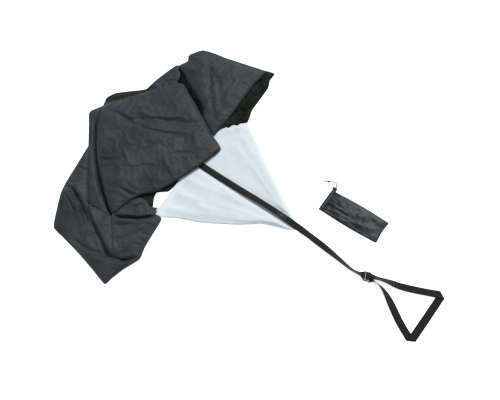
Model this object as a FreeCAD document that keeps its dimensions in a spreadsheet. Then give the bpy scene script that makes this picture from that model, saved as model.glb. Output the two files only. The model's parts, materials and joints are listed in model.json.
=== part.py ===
import FreeCAD, Part
import math
import os

# A running resistance parachute laid out on the floor: a collapsed round canopy in gores,
# a mesh cone that keeps its lines from tangling, a webbing tow strap with a waist loop,
# and the drawstring pouch that it packs into. Millimetres, +Z up, floor at Z = 0.
# The outlines are drawn in a layout frame; every sub-part is then moved by one shift, which
# puts the origin under the middle of the canopy, mesh and pouch.

Vec = FreeCAD.Vector
doc = FreeCAD.newDocument("RunningParachute")

# ---------------------------------------------------------------- driving dimensions

sizes = [
    ("webbing_width", 25.0, "tow strap and waist loop webbing, across"),
    ("webbing_thickness", 1.6, "same webbing, through"),
    ("layer_gap", 0.3, "air between layers that are not sewn together"),
    ("lower_layer", 10.0, "bulk of the canopy layers that lie on the floor"),
    ("right_bulk", 24.0, "height of the right lobe above the lower layer"),
    ("middle_bulk", 32.0, "height of the middle lobe above the lower layer"),
    ("side_bulk", 12.0, "height of the flat side fold above the lower layer"),
    ("outer_bulk", 22.0, "height of the outer left lobe above the lower layer"),
    ("inner_bulk", 18.0, "height of the inner left lobe above the lower layer"),
    ("seam_width", 10.0, "felled seam between two gores, across"),
    ("seam_thickness", 1.2, "felled seam, through"),
    ("hem_width", 12.0, "folded hem along the canopy's rim, across"),
    ("hem_thickness", 1.6, "folded hem, through"),
    ("strap_lift", 0.5, "room between the mesh and the tow strap that lies on it"),
    ("mesh_bulk", 2.0, "each of the two layers of the flattened mesh cone"),
    ("mesh_hem_width", 8.0, "hem on the mesh's free edge, across"),
    ("mesh_hem_thickness", 0.8, "hem on the mesh's free edge, through"),
    ("tack_length", 18.0, "box of bar-tack stitches, along the webbing"),
    ("tack_margin", 3.0, "from the webbing's edge to the box of bar-tack stitches"),
    ("tack_thickness", 0.8, "bar-tack stitches above the webbing"),
    ("glide_side_room", 1.0, "from the webbing's edge to a side rail of the tri-glide"),
    ("glide_bar_radius", 1.75, "tri-glide, each of its three bars"),
    ("glide_bar_pitch", 10.0, "tri-glide, from one bar to the next"),
    ("glide_rail", 3.0, "tri-glide, each side rail across"),
    ("strap_end_gap", 0.42, "from the tow strap's nearer end corner to the tri-glide's first bar"),
    ("tail_length", 84.0, "doubled webbing where the waist loop is sewn back"),
    ("pouch_length", 226.0, "pouch, mouth to closed end"),
    ("pouch_width", 92.0, "pouch, across"),
    ("pouch_back_bulk", 3.0, "pouch, back panel"),
    ("pouch_front_bulk", 5.0, "pouch, front panel"),
    ("channel_width", 16.0, "drawcord channel at the pouch's mouth"),
    ("cord_radius", 1.7, "drawcord"),
    ("cord_play", 0.4, "radial room round the drawcord in its channel and lock"),
    ("lock_radius", 5.5, "cord lock, barrel"),
    ("lock_length", 13.5, "cord lock, barrel"),
    ("lock_floor", 1.0, "cord lock, closed end of the barrel"),
    ("lock_wall", 1.3, "cord lock, wall of the barrel"),
    ("lock_play", 0.1, "cord lock, radial room round the plunger"),
    ("plunger_stroke", 2.5, "cord lock, plunger travel"),
    ("plunger_head", 3.5, "cord lock, plunger standing out of the barrel"),
    ("plunger_floor", 1.0, "cord lock, plunger behind its slot"),
    ("lock_gap", 1.5, "from the pouch to the cord lock"),
    ("knot_radius", 3.8, "knot in the drawcord"),
]

sheet = doc.addObject("Spreadsheet::Sheet", "Sizes")
for row, (alias, value, note) in enumerate(sizes, start=1):
    sheet.set("A%d" % row, note)
    sheet.set("B%d" % row, str(value))
    sheet.setAlias("B%d" % row, alias)
doc.recompute()


def size(alias):
    return float(sheet.get(alias))


# ---------------------------------------------------------------- outlines and routes

# Each corner is x, y and the bulge of the edge that leaves it: how far the edge's middle
# stands out to the left of the straight line to the next corner.
middleOutline = [
    (-568, 397, 6), (-399, 471, -8), (-270, 519, 10), (-181, 355, 4), (-137, 269, -3),
    (-104, 211, -4), (-183, 138, 3), (-257, 80, 6), (-387, 18, -8), (-473, -52, -3),
    (-508, 21, 4), (-545, 141, 2), (-568, 282, 0),
]
rightOutline = [
    (-300, 560, 0), (-285, 613, 6), (-249, 665, 4), (-191, 690, 6), (-106, 653, -3),
    (82, 571, 4), (41, 550, -6), (-25, 441, 3), (-94, 325, 2), (-138, 268, 0), (-260, 330, 0),
]
sideOutline = [
    (-607, 378, 0), (-540, 392, 0), (-470, 100, 0), (-470, 10, 0), (-494, -59, 4),
    (-565, -5, 0), (-579, 119, 2), (-592, 224, 0), (-606, 314, 3),
]
outerOutline = [
    (-594, 220, 5), (-653, 66, 2), (-664, 21, -3), (-665, -105, 8), (-580, -187, 3),
    (-468, -307, 0), (-470, -180, -6), (-488, -56, 0), (-560, 0, 0), (-579, 119, 0),
]
innerOutline = [
    (-468, -307, 3), (-438, -283, -4), (-365, -219, 4), (-347, -178, 3), (-308, -83, 5),
    (-328, -52, 0), (-343, -22, 0), (-326, 31, 0), (-400, 60, 0), (-488, -56, 6),
    (-470, -180, 0),
]
lowerRightOutline = [
    (95, 566, 5), (73, 531, 0), (70, 504, 3), (46, 455, -4), (4, 386, 3), (-13, 326, 0),
    (-150, 260, 0), (-262, 505, 0), (-275, 600, 5), (-191, 676, 4), (-106, 640, 0),
]
lowerMiddleOutline = [
    (-401, 490, 3), (-519, 470, 6), (-557, 444, 0), (-560, 380, 0), (-570, 200, 0),
    (-540, 20, 0), (-470, -20, 0), (-180, 250, 0), (-263, 505, 0), (-290, 528, 0),
]
lowerLeftOutline = [
    (-548, -190, 3), (-468, -300, 3), (-438, -277, -4), (-365, -213, 4), (-350, -170, 0),
    (-330, -60, 0), (-472, -22, 0), (-541, 18, 0), (-570, 60, 0), (-640, 20, 0), (-650, -105, 6),
]
meshUpperOutline = [
    (-150, 292, 4), (-101, 309, 3), (-87, 316, 6), (-20, 330, 0), (72, 118, 0), (155, -83, 4),
    (169, -115, 3), (136, -117, -3), (47, -92, -6), (-40, -94, 0), (-169, -86, 0),
    (-239, -71, 3), (-300, -69, 3), (-328, -52, 0), (-330, 45, 0), (-268, 118, 0),
    (-228, 200, 0),
]
meshLowerOutline = [
    (-145, 285, 0), (-28, 318, 0), (64, 118, 0), (148, -86, 4), (166, -117, 3),
    (120, -118, -4), (47, -97, -5), (-40, -98, 0), (-169, -91, 0), (-239, -77, 3),
    (-298, -71, 3), (-326, -56, 0), (-326, 42, 0), (-264, 114, 0), (-224, 194, 0),
]

# Seams, hems and the mesh's hem follow these lines, inside the gore that they lie on.
seamRightLine = [(-279, 600), (-258, 509), (-172, 352), (-129, 276)]
seamSideLine = [(-572, 380), (-574, 282), (-552, 139), (-514, 18), (-481, -45)]
seamLeftLine = [(-481, -52), (-463, -180), (-461, -288)]
rimRightLine = [(68, 570), (34, 553), (-33, 444), (-101, 330), (-120, 300)]
rimMiddleLine = [(-124, 216), (-188, 145), (-260, 89), (-389, 26), (-468, -36)]
rimLeftLine = [(-452, -282), (-371, -214), (-354, -175), (-319, -85)]
meshHemLine = [(130, -110), (45, -85), (-40, -88), (-169, -80), (-239, -65), (-298, -63)]

# The tow strap leaves the rim under the middle lobe, crosses the mesh to its point, and
# then lies on the floor up to the tri-glide. The third value says what it lies on.
towRoute = [
    (-214, 168, "mesh"), (-89, 73, "mesh"), (69, -33, "mesh"), (180, -121, "mesh"),
    (236, -168, "floor"), (283, -214, "floor"), (330.5, -263, "floor"), (365, -278.4, "floor"),
]
# The waist loop's three legs: out from the tri-glide, across, and back, with a flat fold
# between one leg and the next.
loopOut = [(386, -284), (436, -299), (476, -314), (530, -328), (612, -345)]
loopAcross = [(612, -345), (555, -416), (494, -490)]
loopBack = [(494, -490), (468, -440), (450, -383), (430, -338), (408, -310), (386, -297)]
glideAngle = -14.0
pouchCorner = (236, -36)
pouchAngle = -34.8
# The drawcord in the pouch's own frame, x along the pouch and y across it, after its exit.
cordRoute = [(0, 24), (-9, 33), (-24, 30), (-37, 22), (-50, 17)]
arcShare = 0.45


def outlineFace(corners):
    """A flat face from corners with straight or bulging edges."""
    edges = []
    for here, there in zip(corners, corners[1:] + corners[:1]):
        start, end = Vec(here[0], here[1], 0), Vec(there[0], there[1], 0)
        bulge = here[2]
        if abs(bulge) < 1e-6:
            edges.append(Part.LineSegment(start, end).toShape())
            continue
        along = (end - start).normalize()
        top = (start + end) * 0.5 + Vec(-along.y, along.x, 0) * bulge
        edges.append(Part.Arc(start, top, end).toShape())
    return Part.Face(Part.Wire(edges))


def routeEdges(points):
    """Straight runs joined by tangent arcs, each as large as its two runs allow."""
    edges, last, radii = [], points[0], []
    for before, here, after in zip(points, points[1:], points[2:]):
        into, out = (here - before), (after - here)
        shorter = min(into.Length, out.Length)
        into.normalize()
        out.normalize()
        turn = into.getAngle(out)
        back = arcShare * shorter
        radii.append(round(back / math.tan(turn / 2), 1))
        start, end = here - into * back, here + out * back
        inwards = (out - into).normalize()
        radius = back / math.tan(turn / 2)
        sag = radius / math.cos(turn / 2) - radius
        edges.append(Part.LineSegment(last, start).toShape())
        edges.append(Part.Arc(start, here + inwards * sag, end).toShape())
        last = end
    edges.append(Part.LineSegment(last, points[-1]).toShape())
    return edges, radii


def ribbonFace(line, width):
    """A flat strip of the given width along a route that lies in the floor plane."""
    points = [Vec(x, y, 0) for x, y in line]
    edges = routeEdges(points)[0]
    sides = []
    for sign in (1, -1):
        shifted = []
        for edge in edges:
            spots = []
            for share in (0, 0.5, 1):
                at = edge.FirstParameter + share * (edge.LastParameter - edge.FirstParameter)
                along = edge.tangentAt(at)
                spots.append(edge.valueAt(at) + Vec(-along.y, along.x, 0) * (sign * width / 2))
            if edge.Curve.TypeId == "Part::GeomLine":
                shifted.append(Part.LineSegment(spots[0], spots[2]).toShape())
            else:
                shifted.append(Part.Arc(*spots).toShape())
        sides.append(shifted)
    left, right = sides
    ends = [
        Part.LineSegment(left[-1].lastVertex().Point, right[-1].lastVertex().Point).toShape(),
        Part.LineSegment(right[0].firstVertex().Point, left[0].firstVertex().Point).toShape(),
    ]
    return Part.Face(Part.Wire(Part.__sortEdges__(left + right + ends)))


# ---------------------------------------------------------------- building blocks

nodes = {}
cordNodes = ["tow_strap", "strap_apex_stitches", "tri_glide", "waist_loop", "loop_tail",
             "loop_stitches", "drawcord", "drawcord_knot", "cord_lock_barrel",
             "cord_lock_spring", "cord_lock_plunger"]


def keep(obj, label):
    """Name a finished sub-part."""
    obj.Label = label
    nodes[label] = obj
    return obj


def bind(obj, **expressions):
    """Tie properties to the sheet; __ in a name stands for a dot."""
    for name, expression in expressions.items():
        obj.setExpression(name.replace("__", "."), expression)


def sheetValue(text):
    """An expression over sheet names, written with bare aliases."""
    words = text.split()
    return " ".join("Sizes." + word if word[0].isalpha() else word for word in words)


def panel(name, face, bottom, height):
    """A flat piece: its outline raised to its height, standing on bottom."""
    outline = doc.addObject("Part::Feature", name + "_outline")
    outline.Shape = face
    raised = doc.addObject("Part::Extrusion", name)
    raised.Base = outline
    raised.DirMode = "Custom"
    raised.Dir = Vec(0, 0, 1)
    raised.Solid = True
    bind(raised, LengthFwd=sheetValue(height), Placement__Base__z=sheetValue(bottom))
    return raised


def cut(name, base, tool):
    result = doc.addObject("Part::Cut", name)
    result.Base, result.Tool = base, tool
    return result


def together(name, pieces):
    result = doc.addObject("Part::MultiFuse", name)
    result.Shapes = pieces
    return result


def place(obj, x, y, angle, z="0"):
    """Turn a piece about the vertical and set it down in the layout frame."""
    obj.Placement = FreeCAD.Placement(Vec(x, y, 0), FreeCAD.Rotation(Vec(0, 0, 1), angle))
    bind(obj, Placement__Base__z=sheetValue(z))


# ---------------------------------------------------------------- canopy

upperBottom = "lower_layer + layer_gap"
tall = "lower_layer + layer_gap + middle_bulk"


def upperGore(label, corners, bulk, *neighbours):
    """An upper gore, stopped short of the gores that lie against it."""
    gore = panel(label + "_whole" if neighbours else label, outlineFace(corners),
                 upperBottom, bulk)
    for number, outline in enumerate(neighbours):
        wall = panel("%s_stop_%d" % (label, number), outlineFace(outline), "0", tall)
        final = number == len(neighbours) - 1
        gore = cut(label if final else "%s_step_%d" % (label, number), gore, wall)
    return keep(gore, label)


def lowerGore(label, corners):
    """A lower gore, stopped short of the mesh cone that runs in under the rim."""
    gore = panel(label + "_whole", outlineFace(corners), "0", "lower_layer")
    for number, outline in enumerate((meshUpperOutline, meshLowerOutline)):
        wall = panel("%s_stop_%d" % (label, number), outlineFace(outline), "0", "lower_layer")
        gore = cut(label if number else label + "_step", gore, wall)
    return keep(gore, label)


upperGore("gore_middle_upper", middleOutline, "middle_bulk")
upperGore("gore_right_upper", rightOutline, "right_bulk", middleOutline)
upperGore("gore_side_fold", sideOutline, "side_bulk", middleOutline)
upperGore("gore_left_outer", outerOutline, "outer_bulk", middleOutline, sideOutline)
upperGore("gore_left_inner", innerOutline, "inner_bulk", middleOutline, sideOutline,
          outerOutline)
lowerGore("gore_right_lower", lowerRightOutline)
lowerGore("gore_middle_lower", lowerMiddleOutline)
lowerGore("gore_left_lower", lowerLeftOutline)


def trim(label, line, width, thickness, bulk, neighbour=None):
    """A seam or hem that lies on top of an upper gore, stopped short of a taller neighbour."""
    strip = panel(label + "_strip" if neighbour else label, ribbonFace(line, size(width)),
                  upperBottom + " + " + bulk, thickness)
    if neighbour:
        strip = cut(label, strip, panel(label + "_stop", outlineFace(neighbour), "0", tall))
    return keep(strip, label)


trim("seam_right", seamRightLine, "seam_width", "seam_thickness", "right_bulk", middleOutline)
trim("seam_side", seamSideLine, "seam_width", "seam_thickness", "middle_bulk")
trim("seam_left", seamLeftLine, "seam_width", "seam_thickness", "outer_bulk")
trim("rim_hem_right", rimRightLine, "hem_width", "hem_thickness", "right_bulk")
trim("rim_hem_middle", rimMiddleLine, "hem_width", "hem_thickness", "middle_bulk")
trim("rim_hem_left", rimLeftLine, "hem_width", "hem_thickness", "inner_bulk")

# ---------------------------------------------------------------- mesh cone

keep(panel("mesh_lower", outlineFace(meshLowerOutline), "0", "mesh_bulk"), "mesh_lower")
keep(panel("mesh_upper", outlineFace(meshUpperOutline), "mesh_bulk", "mesh_bulk"),
     "mesh_upper")
meshTop = "mesh_bulk + mesh_bulk"
keep(panel("mesh_hem", ribbonFace(meshHemLine, size("mesh_hem_width")), meshTop,
           "mesh_hem_thickness"), "mesh_hem")

# ---------------------------------------------------------------- tow strap

strapHeights = {
    "mesh": 2 * size("mesh_bulk") + size("strap_lift") + size("webbing_thickness") / 2,
    "floor": size("webbing_thickness") / 2,
}
towPoints = [Vec(x, y, strapHeights[under]) for x, y, under in towRoute]
towEdges, towRadii = routeEdges(towPoints)
towPath = Part.Wire(towEdges)
firstWay = (towPoints[1] - towPoints[0]).normalize()
across = Vec(-firstWay.y, firstWay.x, 0) * (size("webbing_width") / 2)
halfUp = Vec(0, 0, size("webbing_thickness") / 2)
corners = [towPoints[0] + across + halfUp, towPoints[0] - across + halfUp,
           towPoints[0] - across - halfUp, towPoints[0] + across - halfUp]
sweep = Part.BRepOffsetAPI.MakePipeShell(towPath)
sweep.setBiNormalMode(Vec(0, 0, 1))
sweep.add(Part.makePolygon(corners + corners[:1]))
sweep.build()
sweep.makeSolid()
towStrap = doc.addObject("Part::Feature", "tow_strap")
towStrap.Shape = sweep.shape()
keep(towStrap, "tow_strap")
sectionArea = size("webbing_width") * size("webbing_thickness")
print("tow strap radii", towRadii, "length", round(towPath.Length, 1), "volume ratio",
      round(towStrap.Shape.Volume / (sectionArea * towPath.Length), 4))


tackWidth = "Sizes.webbing_width - 2 * Sizes.tack_margin"


def heading(start, end):
    return math.degrees(math.atan2(end[1] - start[1], end[0] - start[0]))


def bartack(label, at, angle, bottom):
    """A box of bar-tack stitches that stands a little proud of the webbing."""
    tack = doc.addObject("Part::Box", label)
    bind(tack, Length="Sizes.tack_length", Width=tackWidth, Height="Sizes.tack_thickness")
    turn = FreeCAD.Rotation(Vec(0, 0, 1), angle)
    corner = Vec(at[0], at[1], 0) - turn.multVec(
        Vec(size("tack_length"), size("webbing_width") - 2 * size("tack_margin"), 0) / 2)
    place(tack, corner.x, corner.y, angle, bottom)
    return keep(tack, label)


strapTop = meshTop + " + strap_lift + webbing_thickness"
bartack("strap_rim_stitches", (-198, 155.8), heading(*towRoute[:2]), strapTop)
bartack("strap_apex_stitches", (110, -65.4), heading(*towRoute[2:4]), strapTop)

# ---------------------------------------------------------------- tri-glide

# Its own frame: x along the webbing from the first bar's axis, y across, z from the floor.
glideWay = Vec(math.cos(math.radians(glideAngle)), math.sin(math.radians(glideAngle)), 0)
skew = math.radians(glideAngle - heading(*towRoute[-2:]))
reach = (size("strap_end_gap") + size("webbing_width") / 2 * math.sin(abs(skew))
         + size("glide_bar_radius"))
glideAt = Vec(towRoute[-1][0], towRoute[-1][1], 0) + glideWay * reach
glideHalf = "(Sizes.webbing_width / 2 + Sizes.glide_side_room + Sizes.glide_rail)"
bars = []
for number in range(3):
    bar = doc.addObject("Part::Cylinder", "glide_bar_%d" % number)
    bind(bar, Radius="Sizes.glide_bar_radius", Height="2 * " + glideHalf)
    bar.Placement = FreeCAD.Placement(Vec(0, 0, 0), FreeCAD.Rotation(Vec(1, 0, 0), -90))
    bind(bar, Placement__Base__x="%d * Sizes.glide_bar_pitch" % number,
         Placement__Base__y="-" + glideHalf, Placement__Base__z="Sizes.glide_bar_radius")
    bars.append(bar)
for side, offset in (("near", "-" + glideHalf), ("far", glideHalf + " - Sizes.glide_rail")):
    rail = doc.addObject("Part::Box", "glide_rail_" + side)
    bind(rail, Length="2 * Sizes.glide_bar_pitch", Width="Sizes.glide_rail",
         Height="2 * Sizes.glide_bar_radius", Placement__Base__y=offset)
    bars.append(rail)
glide = together("tri_glide", bars)
place(glide, glideAt.x, glideAt.y, glideAngle)
keep(glide, "tri_glide")
print("waist loop hinge axis at", glideAt, "height", size("glide_bar_radius"))

# ---------------------------------------------------------------- waist loop

glideTool = doc.addObject("Part::Box", "glide_room")
bind(glideTool, Length="2 * Sizes.glide_bar_pitch + Sizes.glide_bar_radius",
     Width="2 * " + glideHalf, Height="4 * Sizes.glide_bar_radius")
halfGlide = size("webbing_width") / 2 + size("glide_side_room") + size("glide_rail")
glideSide = Vec(glideWay.y, -glideWay.x, 0) * halfGlide
place(glideTool, glideAt.x + glideSide.x, glideAt.y + glideSide.y, glideAngle)


def foldBlock(name, before, corner, after):
    """What lies beyond the fold line at a corner of the loop, to be cut away."""
    at = Vec(corner[0], corner[1], 0)
    into = (at - Vec(before[0], before[1], 0)).normalize()
    out = (Vec(after[0], after[1], 0) - at).normalize()
    fold = (into + out).normalize()
    outwards = (into - out).normalize()
    span = 4 * size("webbing_width")
    block = Part.Face(Part.makePolygon([at + fold * span, at + fold * span + outwards * span,
                                        at - fold * span + outwards * span, at - fold * span,
                                        at + fold * span]))
    return panel(name, block, "0", "2 * webbing_thickness")


def extended(line, first, last):
    """The same line with its ends run on in their own directions."""
    grown = [Vec(x, y, 0) for x, y in line]
    run = size("webbing_width") * 1.2
    if first:
        grown[0] = grown[0] + (grown[0] - grown[1]).normalize() * run
    if last:
        grown[-1] = grown[-1] + (grown[-1] - grown[-2]).normalize() * run
    return [(p.x, p.y) for p in grown]


legs = []
for name, line, first, last in (("leg_out", loopOut, False, True),
                                ("leg_across", loopAcross, True, True),
                                ("leg_back", loopBack, True, False)):
    strip = ribbonFace(extended(line, first, last), size("webbing_width"))
    legs.append(panel(name, strip, "0", "webbing_thickness"))
    print(name, "radii", routeEdges([Vec(x, y, 0) for x, y in line])[1])
nearFold = foldBlock("near_fold", loopOut[-2], loopOut[-1], loopAcross[1])
farFold = foldBlock("far_fold", loopAcross[-2], loopAcross[-1], loopBack[1])
allLegs = together("loop_legs", legs)
loop = cut("waist_loop", allLegs, together("loop_beyond", [nearFold, farFold, glideTool]))
keep(loop, "waist_loop")

tailWay = heading(loopOut[0], loopOut[1])
tailEnd = [loopOut[0], loopOut[1],
           (loopOut[0][0] + size("tail_length"),
            loopOut[0][1] + size("tail_length") * math.tan(math.radians(tailWay - 3)))]
tailStrip = panel("tail_strip", ribbonFace(tailEnd, size("webbing_width")),
                  "webbing_thickness", "webbing_thickness")
keep(cut("loop_tail", tailStrip, glideTool), "loop_tail")
bartack("loop_stitches", (tailEnd[2][0] - 16, tailEnd[2][1] + 5.5), tailWay - 3,
        "2 * webbing_thickness")

# ---------------------------------------------------------------- pouch

pouchWay = FreeCAD.Rotation(Vec(0, 0, 1), pouchAngle)
pouchAt = Vec(pouchCorner[0], pouchCorner[1], 0)


def onPouch(x, y, z=0.0):
    return pouchAt + pouchWay.multVec(Vec(x, y, z))


def pouchPanel(label, bulk, bottom):
    body = doc.addObject("Part::Box", label)
    bind(body, Length="Sizes.pouch_length - Sizes.channel_width", Width="Sizes.pouch_width",
         Height="Sizes." + bulk)
    corner = onPouch(size("channel_width"), 0)
    place(body, corner.x, corner.y, pouchAngle, bottom)
    return keep(body, label)


pouchPanel("pouch_back", "pouch_back_bulk", "0")
pouchPanel("pouch_front", "pouch_front_bulk", "pouch_back_bulk")

channelBlock = doc.addObject("Part::Box", "channel_block")
bind(channelBlock, Length="Sizes.channel_width", Width="Sizes.pouch_width",
     Height="2 * Sizes.lock_radius")
channelBore = doc.addObject("Part::Cylinder", "channel_bore")
bind(channelBore, Radius="Sizes.cord_radius + Sizes.cord_play", Height="Sizes.pouch_width")
channelBore.Placement = FreeCAD.Placement(Vec(0, 0, 0), FreeCAD.Rotation(Vec(1, 0, 0), -90))
bind(channelBore, Placement__Base__x="Sizes.channel_width / 2",
     Placement__Base__z="Sizes.lock_radius")
channel = cut("pouch_channel", channelBlock, channelBore)
place(channel, pouchAt.x, pouchAt.y, pouchAngle)
keep(channel, "pouch_channel")

# ---------------------------------------------------------------- drawcord and knot

cordHeight = size("lock_radius")
cordX, cordY = size("channel_width") / 2, size("pouch_width")
cordPoints = [onPouch(cordX, 0, cordHeight)]
for x, y in cordRoute:
    fallen = cordHeight if x > -10 else size("knot_radius")
    cordPoints.append(onPouch(cordX + x, cordY + y, fallen))
cordEdges, cordRadii = routeEdges(cordPoints)
cordPath = Part.Wire(cordEdges)
ring = Part.Wire(Part.Circle(cordPoints[0], cordPoints[1] - cordPoints[0],
                             size("cord_radius")).toShape())
drawcord = doc.addObject("Part::Feature", "drawcord")
drawcord.Shape = cordPath.makePipeShell([ring], True, False)
print("drawcord radii", cordRadii, "length", round(cordPath.Length, 1), "volume ratio",
      round(drawcord.Shape.Volume / (math.pi * size("cord_radius") ** 2 * cordPath.Length), 4))
knotAt = cordPoints[-2]
knot = doc.addObject("Part::Sphere", "drawcord_knot")
bind(knot, Radius="Sizes.knot_radius")
knot.Placement = FreeCAD.Placement(knotAt, FreeCAD.Rotation())
keep(knot, "drawcord_knot")
keep(drawcord, "drawcord")

# ---------------------------------------------------------------- cord lock

# Its own frame: the barrel's axis along x, the cord through it along y at x = 0.
lockAt = onPouch(cordX, cordY + size("lock_gap") + size("lock_radius"), cordHeight)
lockTurn = pouchWay.multiply(FreeCAD.Rotation(Vec(0, 1, 0), 90))
boreRadius = "Sizes.lock_radius - Sizes.lock_wall"
slotHalf = "(Sizes.cord_radius + Sizes.cord_play)"


def lockRound(name, radius, start, length):
    """A round piece on the barrel's axis, from start for length."""
    piece = doc.addObject("Part::Cylinder", name)
    bind(piece, Radius=radius, Height=length)
    piece.Placement = FreeCAD.Placement(Vec(0, 0, 0), FreeCAD.Rotation(Vec(0, 1, 0), 90))
    bind(piece, Placement__Base__x=start)
    return piece


plungerRadius = boreRadius + " - Sizes.lock_play"
plungerEnd = "(" + slotHalf + " + Sizes.plunger_floor)"
barrelEnd = "Sizes.lock_length / 2"
barrelBlock = lockRound("barrel_block", "Sizes.lock_radius", "-Sizes.lock_length / 2",
                        "Sizes.lock_length")
barrelBore = lockRound("barrel_bore", boreRadius, "-Sizes.lock_length / 2",
                       "Sizes.lock_length - Sizes.lock_floor")
cordHole = doc.addObject("Part::Cylinder", "cord_hole")
bind(cordHole, Radius="Sizes.cord_radius + Sizes.cord_play", Height="4 * Sizes.lock_radius",
     Placement__Base__y="-2 * Sizes.lock_radius")
cordHole.Placement = FreeCAD.Placement(Vec(0, 0, 0), FreeCAD.Rotation(Vec(1, 0, 0), -90))
barrel = cut("cord_lock_barrel", barrelBlock, together("barrel_holes", [barrelBore, cordHole]))

plungerStart = "(-Sizes.lock_length / 2 - Sizes.plunger_head)"
plungerRod = lockRound("plunger_rod", plungerRadius, plungerStart,
                       plungerEnd + " - " + plungerStart)
plungerSlot = doc.addObject("Part::Box", "plunger_slot")
bind(plungerSlot, Length="2 * " + slotHalf + " + Sizes.plunger_stroke",
     Width="4 * Sizes.lock_radius", Height="2 * " + slotHalf,
     Placement__Base__x="-" + slotHalf + " - Sizes.plunger_stroke",
     Placement__Base__y="-2 * Sizes.lock_radius", Placement__Base__z="-" + slotHalf)
plunger = cut("cord_lock_plunger", plungerRod, plungerSlot)

springLength = barrelEnd + " - Sizes.lock_floor - " + plungerEnd
springOuter = lockRound("spring_outer", plungerRadius + " - 0.6", plungerEnd, springLength)
springInner = lockRound("spring_inner", plungerRadius + " - 1.6", plungerEnd, springLength)
spring = cut("cord_lock_spring", springOuter, springInner)

for label, piece in (("cord_lock_barrel", barrel), ("cord_lock_plunger", plunger),
                     ("cord_lock_spring", spring)):
    piece.Placement = FreeCAD.Placement(lockAt, pouchWay)
    keep(piece, label)

# ---------------------------------------------------------------- origin, checks, files

doc.recompute()
floor = FreeCAD.BoundBox()
for label, obj in nodes.items():
    if label not in cordNodes:
        floor.add(obj.Shape.BoundBox)
shift = Vec(-floor.Center.x, -floor.Center.y, 0)
os.makedirs("parts", exist_ok=True)
for obj in doc.Objects:
    if "Invalid" in obj.State or "Error" in obj.State:
        raise RuntimeError("%s is %s" % (obj.Label, obj.State))
print("origin shift", shift, "box", floor.XLength, floor.YLength, floor.ZLength)

for label, obj in nodes.items():
    placed = obj.Placement.copy()
    placed.Base = placed.Base + shift
    shape = obj.Shape.copy()
    if shape.isNull() or not shape.isValid() or not shape.Solids:
        raise RuntimeError("%s has no valid solid" % label)
    shape.Placement = placed
    shape.exportStep("parts/%s.step" % label)
    print("%-22s solids %d volume %.0f" % (label, len(shape.Solids), shape.Volume))
print("hinge", glideAt + shift, "pouch corner", pouchAt + shift, "lock", lockAt + shift)
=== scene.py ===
import json
import math
import bpy
import numpy as np
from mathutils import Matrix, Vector, noise
from mathutils.bvhtree import BVHTree
from mathutils.geometry import delaunay_2d_cdt

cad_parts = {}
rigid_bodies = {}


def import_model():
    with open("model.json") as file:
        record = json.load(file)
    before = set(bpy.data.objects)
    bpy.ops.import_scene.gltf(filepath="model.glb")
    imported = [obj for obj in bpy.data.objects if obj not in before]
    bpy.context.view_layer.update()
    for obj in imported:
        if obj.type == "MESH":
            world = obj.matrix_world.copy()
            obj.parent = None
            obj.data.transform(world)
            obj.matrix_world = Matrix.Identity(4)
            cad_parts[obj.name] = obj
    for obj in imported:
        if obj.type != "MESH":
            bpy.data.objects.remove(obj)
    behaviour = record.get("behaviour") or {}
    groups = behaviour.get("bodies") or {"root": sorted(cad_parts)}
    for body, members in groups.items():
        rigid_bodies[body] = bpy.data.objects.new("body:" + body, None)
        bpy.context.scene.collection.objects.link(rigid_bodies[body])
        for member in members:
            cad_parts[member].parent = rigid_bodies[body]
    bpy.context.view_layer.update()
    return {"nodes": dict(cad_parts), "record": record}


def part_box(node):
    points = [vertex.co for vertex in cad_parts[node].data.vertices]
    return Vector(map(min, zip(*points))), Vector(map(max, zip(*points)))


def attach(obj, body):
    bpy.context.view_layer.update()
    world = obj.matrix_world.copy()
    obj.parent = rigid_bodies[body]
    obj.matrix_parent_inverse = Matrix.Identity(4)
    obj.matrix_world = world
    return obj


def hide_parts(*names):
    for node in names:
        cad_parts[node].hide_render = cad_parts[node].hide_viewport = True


# A running resistance parachute lying collapsed on the floor, with its pouch beside it.
# Points are in millimetres, in the layout that the parts were drawn in; place() turns them
# into the frame's metres. The layout's origin is where the camera looks.

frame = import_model()
bodyOf = {node: body for body, members in frame["record"]["behaviour"]["bodies"].items()
          for node in members}

pouchTurn = math.radians(-34.8)
pouchAlong = np.array([math.cos(pouchTurn), math.sin(pouchTurn)])
pouchAcross = np.array([-pouchAlong[1], pouchAlong[0]])
channelWidth = 16
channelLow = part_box("pouch_channel")[0]
pouchAt = Vector((channelLow[0], channelLow[1] - channelWidth / 1000 * pouchAlong[1], 0))
pouchCorner = np.array([236.0, -36.0])
layoutZero = pouchAt - Vector((*pouchCorner, 0)) / 1000


def place(x, y, z=0.0):
    return layoutZero + Vector((x, y, z)) / 1000


def onPouch(x, y, z):
    # the pouch's own frame: x from its mouth, y across it
    at = pouchCorner + pouchAlong * x + pouchAcross * y
    return (at[0], at[1], z)


# camera, light and floor
view = {"tilt": 62.0, "distance": 1.95, "lens": 40.34}
light = {"sunPower": 3.0, "sunSpread": 14, "fillPower": 6, "fillSize": 2.0, "sky": 0.4,
         "floorGlow": 0.72}
tilt = math.radians(view["tilt"])
eye = np.array([0, -math.cos(tilt), math.sin(tilt)]) * view["distance"] * 1000


def linear(hexColour):
    values = [int(hexColour[i:i + 2], 16) / 255 for i in (1, 3, 5)]
    return [v / 12.92 if v <= 0.04045 else ((v + 0.055) / 1.055) ** 2.4 for v in values] + [1]


def addNode(tree, kind, settings=None, links=None):
    # links maps the node's inputs to other nodes' outputs
    node = tree.nodes.new(kind)
    for name, value in (settings or {}).items():
        if isinstance(name, int) or name in node.inputs:
            node.inputs[name].default_value = value
        else:
            setattr(node, name, value)
    for name, source in (links or {}).items():
        tree.links.new(source, node.inputs[name])
    return node


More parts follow.
